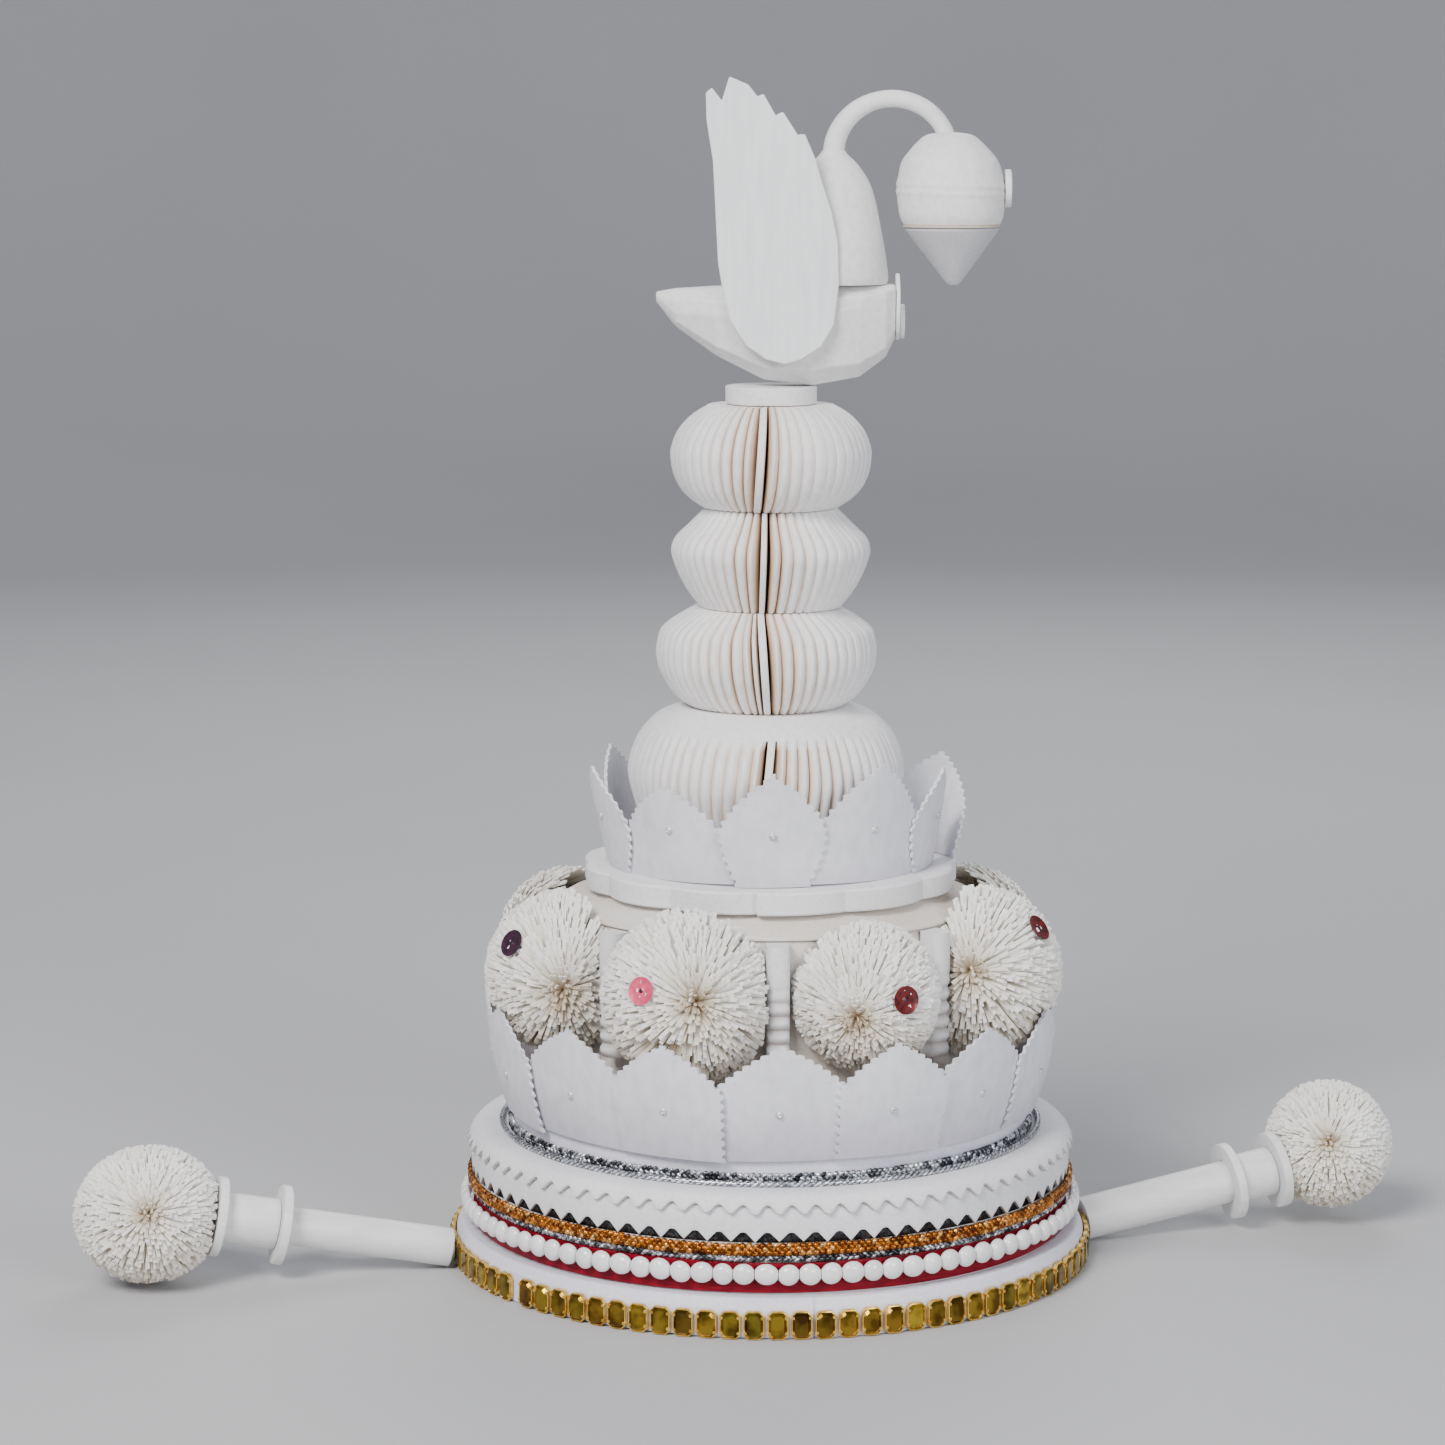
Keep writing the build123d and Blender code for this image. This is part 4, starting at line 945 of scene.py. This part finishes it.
# Each row: change of radius, height. The first and last close the faces near the middle.
for change, height in ((None, 117.2), (-4.0, 117.2), (-0.5, 117.2), (0.0, 117.7), (0.0, 123.4), (-0.6, 124.1),
                       (-5.0, 124.15), (None, 124.15)):
    ring = [(0.2 if change is None else radius + change, angle) for angle, radius in disc_edge]
    rings.append([(radius * math.cos(angle), radius * math.sin(angle), height) for radius, angle in ring])
disc_pith = pith("disc_pith", (0.88, 0.87, 0.885), (0.83, 0.82, 0.835), (0.55, 0.42, 0.3))
make_piece("lobed_disc", *joined(rings), [disc_pith], ["scalloped_disc"], sharp=30)


# Upper leaves: ten pinked leaves round the foot of the tower, each pinned at its middle, some taller
# than others. One at the back right is bent out.
upper_radius = 48.6
upper_foot = 124.4
pin_rise = 16.2
over_profile = [(0.0, 11.2), (0.15, 13.7), (0.3, 15.7), (0.44, 16.6), (0.55, 15.9), (0.66, 13.6), (0.78, 9.8),
                (0.88, 5.6), (0.95, 2.6), (1.0, 0.7)]
under_profile = [(0.0, 20.5), (0.3, 20.3), (0.5, 18.8), (0.62, 16.2), (0.75, 12.3), (0.87, 7.4), (0.95, 3.6),
                 (1.0, 0.8)]
# Each row: height, stand-off, lean, tip sideways.
upper_leaves = [(35.3, 1.1, 6.6, 0.5), (36.0, -0.2, 5.6, -1.5), (31.0, 1.0, 5.2, 1.0),
                (29.0, -0.1, 13.0, 0.0), (35.0, 1.0, 6.4, -1.0), (34.2, -0.2, 5.8, 1.2),
                (35.4, 1.0, 6.4, -0.6), (33.0, -0.2, 3.6, 0.8), (31.5, 1.0, 7.4, -1.0),
                (29.6, -0.2, 5.6, 1.5)]
bent_leaf = 3
leaves = []
leaf_foot_shade = []
pins = []
for number, (height, over, lean, tip) in enumerate(upper_leaves):
    turn = 0.2 + number * 360 / len(upper_leaves)
    bow, twist = (0.42, 28.0) if number == bent_leaf else (0.55, chance.normal(0, 1.0))
    rows = leaf_rows(height, over_profile if over > 0.5 else under_profile)
    points, faces = leaf_sheet(rows, upper_radius + over, lean, bow, cup=-0.8)
    # Each leaf is painted darker towards its foot, a painted shade.
    leaf_foot_shade.extend([max(0.0, 0.5 - 0.07 * z) for x, y, z in points])
    leaves.append((stood(points, turn, upper_foot, twist, tip), faces))
    share = pin_rise / height
    reach = upper_radius + leaf_thickness + over + lean * (2 * bow * share + (1 - 2 * bow) * share * share)
    pins.append(pinned(reach, pin_rise, turn, upper_foot - 0.1))
leaf_ring(leaves, "upper_leaves", leaf_foot_shade, "upper_leaf_collar", pins, "upper_pins")


# Tower: four tiers, each a fan of thin pith slats glued along a core and opened right round until its
# two ends meet at the front. There one slat stands alone between two deep gaps. Away from them the
# slats touch, and only shallow grooves show. Gaps and grooves are painted warm and dark in step with
# their depth, a painted shade; the two deep gaps go almost black.
slat_pith = pith("slat_pith", (0.9, 0.89, 0.895), (0.86, 0.845, 0.845),
                 [(0.0, (1, 1, 1)), (0.35, (0.92, 0.82, 0.71)), (0.7, (0.7, 0.47, 0.3)),
                  (1.0, (0.07, 0.035, 0.018))],
                 rough=0.6, stretch=(1, 1, 0.3), grain=700.0, grain_height=0.04)
# Columns from the middle of the lone slat to the crest of the next one. Each row: share of the lone
# slat's half breadth, distance that draws in with the tier, fixed distance, depth, tone (painted shade).
gap_side = [(0.75, 0, 0, 0.03, 0), (1, 0, 0, 0.3, 0.1), (1, 0, 0.04, 5, 0.9), (1, 0, 0.06, 9.5, 1),
            (0, 1.9, 0, 9.5, 1), (0, 1.98, 0, 3.4, 0.8), (0, 2.5, 0, 2.2, 0.66), (0, 3.1, 0, 0.9, 0.48),
            (0, 3.7, 0, 0.15, 0.22)]
double_side = gap_side[:5] + [(0, 1.98, 0, 2.2, 0.6), (0, 2.3, 0, 0.5, 0.2), (0, 3.3, 0, 0.3, 0.1),
                              (0, 3.6, 0, 1.6, 0.75), (0, 3.9, 0, 2.6, 0.9), (0, 4.3, 0, 1.3, 0.4),
                              (0, 4.8, 0, 0.15, 0.1)]
across_slat = (-0.93, -0.8, -0.6, -0.3, 0, 0.3, 0.6, 0.8, 0.93, 1)
groove_least = 0.25
groove_more = 1.9


def fading(value):
    value = np.clip(value, 0, 1)
    return value * value * (3 - 2 * value)


def tier(name, node, bottom, height, outline, slats, half, line, limits, aside, left_side, cap, seed):
    """One tier: outline is (radius, share of height) up the slats' outer edges; line is where the lone slat
    stands at foot and head, right of the middle; limits are the angles at which the grooves turn shallow;
    aside is how far left the tier stands; cap is the part of the height over which the grooves end."""
    toss = np.random.default_rng(seed)
    fine = smooth_run([(radius, share * height) for radius, share in outline], 30)[0]
    radii = np.array([radius for radius, rise in fine])[:, None]
    share = np.array([rise / height for radius, rise in fine])[:, None]
    widest = radii.max()
    drawn = radii / widest
    first = gap_side[-1][1] / widest
    last = 2 * math.pi - left_side[-1][1] / widest
    widths = 1 + 0.1 * np.cos(np.linspace(0, 2 * math.pi, slats - 1))
    crests = np.cumsum(widths) - widths / 2
    stretch = (last - first) / (crests[-1] - crests[0])
    crests = first + (crests - crests[0]) * stretch
    grooves = toss.uniform(0.75, 1.2, slats)
    # Each column: angle, side of the lone slat, the four values of a gap's row, tone.
    columns = [(0.0, 1, 0, 0, 0, 0, 0)] + [(0.0, 1, *row) for row in gap_side]
    for number in range(slats - 1):
        proud = toss.uniform(-0.12, 0.12)
        for place in across_slat:
            if (number == 0 and place <= 0) or (number == slats - 2 and place >= 0):
                continue
            angle = crests[number] + place * widths[number] * stretch / 2
            degrees = math.degrees(math.remainder(angle, 2 * math.pi))
            limit = limits[degrees > 0]
            groove = grooves[number + (place > 0)]
            cut = groove_least + groove_more * float(fading(1.35 - abs(degrees) / limit))
            cut *= groove * abs(place) ** 2.1
            # Grooves are painted darker with their cut and near the front gaps, a painted shade.
            near_gap = 0.35 + 0.65 * math.exp(-(degrees / 38) ** 2)
            dark = 0.5 * cut / groove_more * near_gap * (0.6 + 0.6 * groove)
            columns.append((angle, 1, 0, 0, 0, cut - proud, dark))
    columns += [(0.0, -1, *row) for row in reversed(left_side)]
    angle, side, of_half, scaled, fixed, cut, tone = np.array(columns).T
    run = (of_half * half * (0.5 + 0.5 * drawn) + scaled * drawn + fixed) * side
    base = math.asin((line[0] + line[1]) / 2 / widest)
    sway = np.arcsin((line[0] + (line[1] - line[0]) * share) / radii) - base
    turn = np.degrees(np.remainder(angle + math.pi, 2 * math.pi) - math.pi)
    angles = around(0) + base + angle + run / radii + sway * np.exp(-(turn / 25) ** 2)
    open_share = 1 - fading((share - cap[0]) / (cap[1] - cap[0]))
    reach = np.maximum(radii - cut * open_share, 2.0)
    x = reach * np.cos(angles) - aside * camera_right[0]
    y = reach * np.sin(angles) - aside * camera_right[1]
    z = bottom + share * height + 0 * angles
    points, faces = joined(np.stack([x, y, z], axis=2).tolist(), "none")
    tones = (tone * open_share).reshape(-1).tolist()
    size = len(columns)
    for start, level in ((0, bottom), (len(points) - size, bottom + height)):
        faces += [(len(points), start + index, start + (index + 1) % size) for index in range(size)]
        points.append((0, 0, level))
        tones.append(0.6)
    make_piece(name, points, faces, [slat_pith], [node], sharp=40, tones=tones)


# Three tiers keep their grooves right up to the head.
whole = (1.1, 1.2)
tier("tier_low", "pleated_tier_4", bottom=124.35, height=47.9,
     outline=[(34.2, 0), (37.7, 0.2), (41.2, 0.42), (42.7, 0.56), (42.4, 0.65), (41.3, 0.73), (39.3, 0.82),
              (36.5, 0.89), (33, 0.95), (27, 1)],
     slats=74, half=1.15, line=(-3.0, 2.0), limits=(50, 45), aside=1.4, left_side=gap_side, cap=(0.82, 0.88),
     seed=61)
tier("tier_third", "pleated_tier_3", bottom=172.5, height=30.4,
     outline=[(23.6, 0), (26.8, 0.067), (29.2, 0.15), (31.6, 0.27), (33.4, 0.40), (34.05, 0.56), (33.5, 0.68),
              (32.4, 0.78), (28.4, 0.885), (22.4, 1)],
     slats=60, half=1.15, line=(0.05, -2.05), limits=(54, 40), aside=1.3, left_side=double_side, cap=whole,
     seed=62)
tier("tier_second", "pleated_tier_2", bottom=203.15, height=30.1,
     outline=[(21.8, 0), (25.3, 0.15), (28.0, 0.307), (29.9, 0.464), (30.6, 0.58), (29.3, 0.70), (25.3, 0.83),
              (20.2, 1)],
     slats=54, half=0.87, line=(-3.1, -2.2), limits=(45, 40), aside=0.0, left_side=gap_side, cap=whole,
     seed=63)
tier("tier_top", "pleated_tier_1", bottom=233.5, height=31.4,
     outline=[(20.6, 0), (24.1, 0.07), (27.6, 0.18), (29.9, 0.33), (30.7, 0.48), (30.55, 0.58), (28.4, 0.75),
              (24.1, 0.9), (19.0, 1)],
     slats=54, half=1.15, line=(-4.6, -2.5), limits=(40, 29), aside=0.0, left_side=gap_side, cap=whole,
     seed=64)


# Collar: a short round cut from a pith stem and glued on the head of the tower. The bird stands on
# it and is glued to it.
collar_outline = rounded([(0.02, 265.1), (13.9, 265.1), (14.0, 270.6), (0.02, 270.6)], 0.6)
make_piece("collar", *turned(collar_outline, 96), [smooth_pith], ["top_collar"])


# Bird: a duck-shaped body carved in flat facets from a block of pith, a flat wing on each side, a
# skittle-shaped neck with a bent stem, and a bud-shaped head that hangs from it.
bird_pith = pith("bird_pith", (0.88, 0.875, 0.875), (0.82, 0.8, 0.79), (0.55, 0.42, 0.3), rough=0.55,
                 grain=500.0, grain_height=0.05)
wing_pith = pith("wing_pith", (0.88, 0.895, 0.905), (0.83, 0.85, 0.86), (0.5, 0.42, 0.36), rough=0.6,
                 stretch=(1, 1, 0.12), grain=420.0, grain_height=0.07)
# The beak's pith is painted grey, a painted shade under the head.
shaded_beak_pith = pith("shaded_beak_pith", (0.6, 0.595, 0.62), (0.5, 0.495, 0.52), (0.5, 0.4, 0.33))
bird_low = 270.85
body_length = 72.6
body_back = -35.0
body_half = 15.0
body_height = 30.3
# Each row: share of length, half width, then keel, low edge, crease, edge and top as shares of height.
hull_rows = [(0.00, 0.16, 0.830, 0.850, 0.880, 0.910, 0.930), (0.08, 0.48, 0.590, 0.640, 0.720, 0.860, 0.960),
             (0.25, 0.86, 0.300, 0.400, 0.700, 0.850, 0.980), (0.45, 1.00, 0.060, 0.190, 0.700, 0.860, 0.985),
             (0.65, 1.00, 0.000, 0.170, 0.730, 0.880, 1.000), (0.85, 0.92, 0.085, 0.230, 0.775, 0.900, 1.000),
             (0.96, 0.74, 0.280, 0.380, 0.880, 0.950, 1.000), (1.00, 0.56, 0.480, 0.560, 0.910, 0.960, 1.000)]


def bird_piece(name, node, points, faces, material=bird_pith, sharp=40, tones=None, sanded=0.0, steps=3):
    """A piece of the bird, turned to face as the bird does; sanded rounds its sharp edges a little."""
    obj = make_piece(name, moved(points, spun(shown_turn, "Z")), faces, [material], [node], sharp, tones)
    if sanded:
        bevel = obj.modifiers.new("sanded", "BEVEL")
        bevel.width = sanded * mm
        bevel.segments = steps
        bevel.limit_method = "ANGLE"
        bevel.angle_limit = math.radians(15)


rings = []
for along, wide, *levels in hull_rows:
    x = body_back + along * body_length
    w = wide * body_half
    keel, low, crease, edge, top = [bird_low + share * body_height for share in levels]
    side = [(w * 0.62, top), (w, edge), (w, crease), (w * 0.74, low), (w * 0.3, keel)]
    other = [(-y, z) for y, z in side]
    rings.append([(x, y, z) for y, z in other[:1] + side + other[:0:-1]])
bird_piece("duck_body", "bird_body", *joined(rings), sharp=12, sanded=0.7)

wing_outline = [(-19.8, 358.6), (-18, 360.1), (-15, 356.3), (-12.8, 363.4), (-7.1, 361), (-4.4, 357.5),
                (-2.6, 358.3), (1.1, 351.8), (3.2, 353), (7.7, 346.1), (9.8, 346.4), (12.9, 339.2),
                (15.3, 331.1), (17.8, 323.6), (19.7, 314.6), (20.2, 302.5), (18.8, 289.9), (14.9, 283.2),
                (8.8, 279.3), (3.9, 277.9), (-1.9, 279.4), (-7.9, 283.6), (-12.5, 291), (-15, 301),
                (-16.2, 308.6), (-17.1, 326.6), (-17.7, 338.6), (-19.6, 350.6)]
wing_thickness = 1.5
for name, node, y in (("wing_near", "bird_wing_near", -body_half - 0.15 - wing_thickness),
                      ("wing_far", "bird_wing_far", body_half + 0.15)):
    rings = [[(x, y + depth, z) for x, z in wing_outline] for depth in (0.0, wing_thickness)]
    bird_piece(name, node, *joined(rings), wing_pith, sharp=25, sanded=0.35, steps=2)

neck_top = 341.4
neck_outline = [(14.6, 301.4), (15.1, 303.8), (14.5, 311), (13.3, 319), (12.2, 325.9), (10.4, 332.1),
                (7.1, 337.4), (4.7, 339.8), (3.5, neck_top)]
fine = smooth_run(neck_outline, 40)[0]
neck_points, neck_faces = turned([(0.02, 301.35)] + list(fine) + [(0.02, neck_top)], 64)
neck_points = [(x + np.interp(z, [301, 341], [20.5, 18.8]), y, z) for x, y, z in neck_points]


def bent_stem(start, finish, spring, crown, sides=16):
    """A round stem: up, over in half an oval, and down; it thins a little on the way."""
    line = [(start, spring - 4.0, 3.4), (start, spring, 3.35)]
    for step in range(1, 29):
        angle = math.pi * (1 - step / 28)
        line.append(((start + finish) / 2 + (finish - start) / 2 * math.cos(angle),
                     spring + (crown - spring) * math.sin(angle), 3.3 - 0.7 * min(1.0, step / 12)))
    rings = []
    for index, (x, z, radius) in enumerate(line):
        before = line[max(index - 1, 0)]
        after = line[min(index + 1, len(line) - 1)]
        way = Vector((after[0] - before[0], 0, after[1] - before[1])).normalized()
        rings.append([(x + way.z * a, b, z - way.x * a) for a, b in circle(radius, sides)])
    return joined(rings)


neck_parts = [(neck_points, neck_faces), bent_stem(start=18.8, finish=53.9, spring=340.4, crown=357.0)]
bird_piece("neck", "bird_neck", *combined(neck_parts)[:2])

head_x = 53.7
head_outline = [(0.02, 318.4), (13.6, 318.4), (14.6, 319.4), (15.6, 321.5), (16.1, 324.6), (16.4, 330),
                (15.6, 334.9), (14.6, 338.3), (12.6, 341), (9.8, 344), (7.2, 346.0), (3.5, 346.8),
                (0.02, 346.9)]
beak_outline = [(0.02, 300.9), (1.4, 301.0), (2.6, 302.2), (14.2, 317.6), (14.2, 318.3), (0.02, 318.3)]


def hung(points):
    """Points of the head moved to where it hangs, tipped a little forward."""
    return [(x + head_x + 0.035 * (347 - z), y, z) for x, y, z in points]


def wrapped(angle, radius, height):
    """A strip is wound round the head: two of its edges show as fine ridges."""
    level = height + 0.5 * math.cos(angle)
    for ridge in (328.7, 331.2):
        away = abs(level - ridge)
        if radius > 10 and away < 1.2:
            radius += 0.32 * (1 - away / 1.2)
    return radius, height


fine = smooth_run(head_outline, 90)[0]
points, faces = turned([(max(radius, 0.02), height) for radius, height in fine], 72, wrapped)
head_tones = [0.8 if 318.6 < z < 319.6 and math.hypot(x, y) > 12 else 0.0 for x, y, z in points]
bird_piece("bud_head", "bird_head", hung(points), faces, sharp=50, tones=head_tones)
# The beak is painted grey as shade under the head.
points, faces = turned(rounded(beak_outline, 0.5), 72)
bird_piece("cone_beak", "bird_beak", hung(points), faces, shaded_beak_pith, sharp=50)
# Rounds of pith that face forward. Each row: radius, thickness, place along the bird, height, squash.
for name, node, radius, thickness, x, z, squash in (
        ("forehead_disc", "bird_head_disc", 5.7, 1.9, head_x + 16.9, 330.1, 1.0),
        ("breast_disc", "chest_disc", 5.2, 1.4, 39.1, 290.05, 1.0),
        ("breast_plate", "chest_plate", 10, 1.2, 37.75, 294.5, 0.85)):
    points, faces = turned(rounded([(0.02, 0), (radius, 0), (radius, thickness), (0.02, thickness)], 0.3), 48)
    place = Matrix.Translation((x, 0, z)) @ spun(90, "Y")
    bird_piece(name, node, moved([(a, b * squash, c) for a, b, c in points], place), faces)


# Arms: on each side a pith rod stands out of the rim, with a thicker sleeve between two thin rings and
# a pompom on its end. The two are not alike: the left one is longer and rises more steeply.
rod_pith = pith("rod_pith", (0.86, 0.85, 0.85), (0.8, 0.79, 0.78), (0.55, 0.42, 0.3), rough=0.45,
                stretch=(0.15, 1, 1), grain=400.0, grain_height=0.06)
Arm = namedtuple("Arm", "side bearing across heading root_height rise rod_radius let_in reach ring_back "
                        "ball_radius ball_stretch ball_seat ball_lift")
arms = [Arm("right", 0.0, -14.5, 3.0, 7.3, 9.8, 6.8, 3.5, 82.6, 35.3, 20.4, 1.0, 18.0, 4.0),
        Arm("left", 180.0, 0.0, 0.0, 6.2, 11.3, 5.9, 0.0, 93.5, 40.5, 20.9, 1.09, 19.2, -2.0)]
root_radius = 100.5
stones_top = 8.75
foot_face = 98.45
foot_top = 12.1
beads_face = 97.15
ring_radius = 12.2
sleeve_radius = 7.7
arm_fingers = 1900


def rim_radius(height):
    """How far out the stones, then the foot band, then the beads stand where a rod goes in."""
    if height < stones_top:
        return root_radius
    return foot_face if height < foot_top else beads_face


def rooted_rod(arm, place, finish, steps=48):
    """The rod, its root cut to the round of the stones and the beads."""
    root = []
    for y, z in circle(arm.rod_radius, steps):
        x = -arm.let_in
        spot = place @ Vector((x, y, z))
        while math.hypot(spot.x, spot.y) < rim_radius(spot.z):
            x += 0.1
            spot = place @ Vector((x, y, z))
        root.append((x, y, z))
    return joined([root, [(finish - 0.4, y, z) for x, y, z in root],
                   [(finish, y * 0.94, z * 0.94) for x, y, z in root]])


for arm in arms:
    root = (root_radius + arm.rod_radius * math.sin(math.radians(arm.rise)), arm.across, arm.root_height)
    place = spun(arm.bearing, "Z") @ Matrix.Translation(root) @ spun(arm.heading, "Z") @ spun(-arm.rise, "Y")
    seat = arm.reach - arm.ball_seat
    inner = arm.reach - arm.ring_back - 1.4
    bore = arm.rod_radius + 0.1
    pieces = [("rod", rooted_rod(arm, place, seat - 0.15))]
    for name, outer, start, finish in (("inner_ring", ring_radius, inner, inner + 2.8),
                                       ("sleeve", sleeve_radius, inner + 2.95, seat - 3.1),
                                       ("outer_ring", ring_radius, seat - 2.95, seat - 0.15)):
        outline = [(bore, start), (outer, start), (outer, finish), (bore, finish)]
        points, faces = turned(rounded(outline, 0.4), 48)
        pieces.append((name, ([(z, x, y) for x, y, z in points], faces)))
    for name, (points, faces) in pieces:
        make_piece(f"{arm.side}_arm_{name}", moved(points, place), faces, [rod_pith], [f"{arm.side}_{name}"],
                   sharp=40)
    middle = tuple(place @ Vector((arm.reach, 0, arm.ball_lift)))
    back = np.array(place.inverted())

    def off_the_ring(x, y, z):
        along = back[0, 0] * x + back[0, 1] * y + back[0, 2] * z + back[0, 3]
        return (along > seat + 0.3) & (z > 0.6)

    pompom(f"{arm.side}_arm_pompom", f"{arm.side}_pompom", middle, arm.ball_radius, arm_fingers,
           toward_camera(middle), off_the_ring, 70 + int(arm.bearing), (arm.ball_stretch, 1, 1))


# Floor and light: a pale matt floor that curves up all round, so that no edge shows behind the
# object, and soft light from the front, left and above.
sweep = [(2000 + 800 * math.sin(math.radians(step * 10)), 800 - 800 * math.cos(math.radians(step * 10)))
         for step in range(10)] + [(2800, 1000)]
floor_points, floor_faces = joined([[(x * mm, y * mm, height * mm) for x, y in circle(radius, 144)]
                                    for radius, height in sweep], "first")
floor_mesh = bpy.data.meshes.new("floor")
floor_mesh.from_pydata(floor_points, [], floor_faces)
floor_mesh.shade_smooth()
floor = bpy.data.objects.new("floor", floor_mesh)
floor_paint = Finish("floor_paint", rough=0.85)
floor_paint.set("Base Color", floor_paint.colours(floor_paint.speckle(3.0), (0.3, (0.47, 0.47, 0.48)),
                                                  (0.7, (0.49, 0.49, 0.5))))
floor_mesh.materials.append(floor_paint.material)
bpy.context.scene.collection.objects.link(floor)

world = bpy.data.worlds.new("room")
bpy.context.scene.world = world
world.use_nodes = True
world.node_tree.nodes["Background"].inputs["Color"].default_value = (0.8, 0.85, 0.95, 1)
world.node_tree.nodes["Background"].inputs["Strength"].default_value = 0.42

# Each row: place and aim in metres, size, power, colour.
for name, place, aim, size, power, colour in (
        ("window", (-1.1, -1.2, 1.5), (0, 0, 0.15), 0.8, 52, (1.0, 0.98, 0.96)),
        ("lamp_front", (0.6, -1.6, 0.7), (0, 0, 0.15), 0.7, 16, (0.95, 0.97, 1.0)),
        ("lamp_back", (0.5, 1.3, 1.2), (0, 0, 0.2), 0.8, 10, (1.0, 1.0, 1.0))):
    data = bpy.data.lights.new(name, "AREA")
    data.shape = "SQUARE"
    data.size = size
    data.energy = power
    data.color = colour
    light = bpy.data.objects.new(name, data)
    light.location = place
    light.rotation_euler = (Vector(aim) - Vector(place)).to_track_quat("-Z", "Y").to_euler()
    bpy.context.scene.collection.objects.link(light)
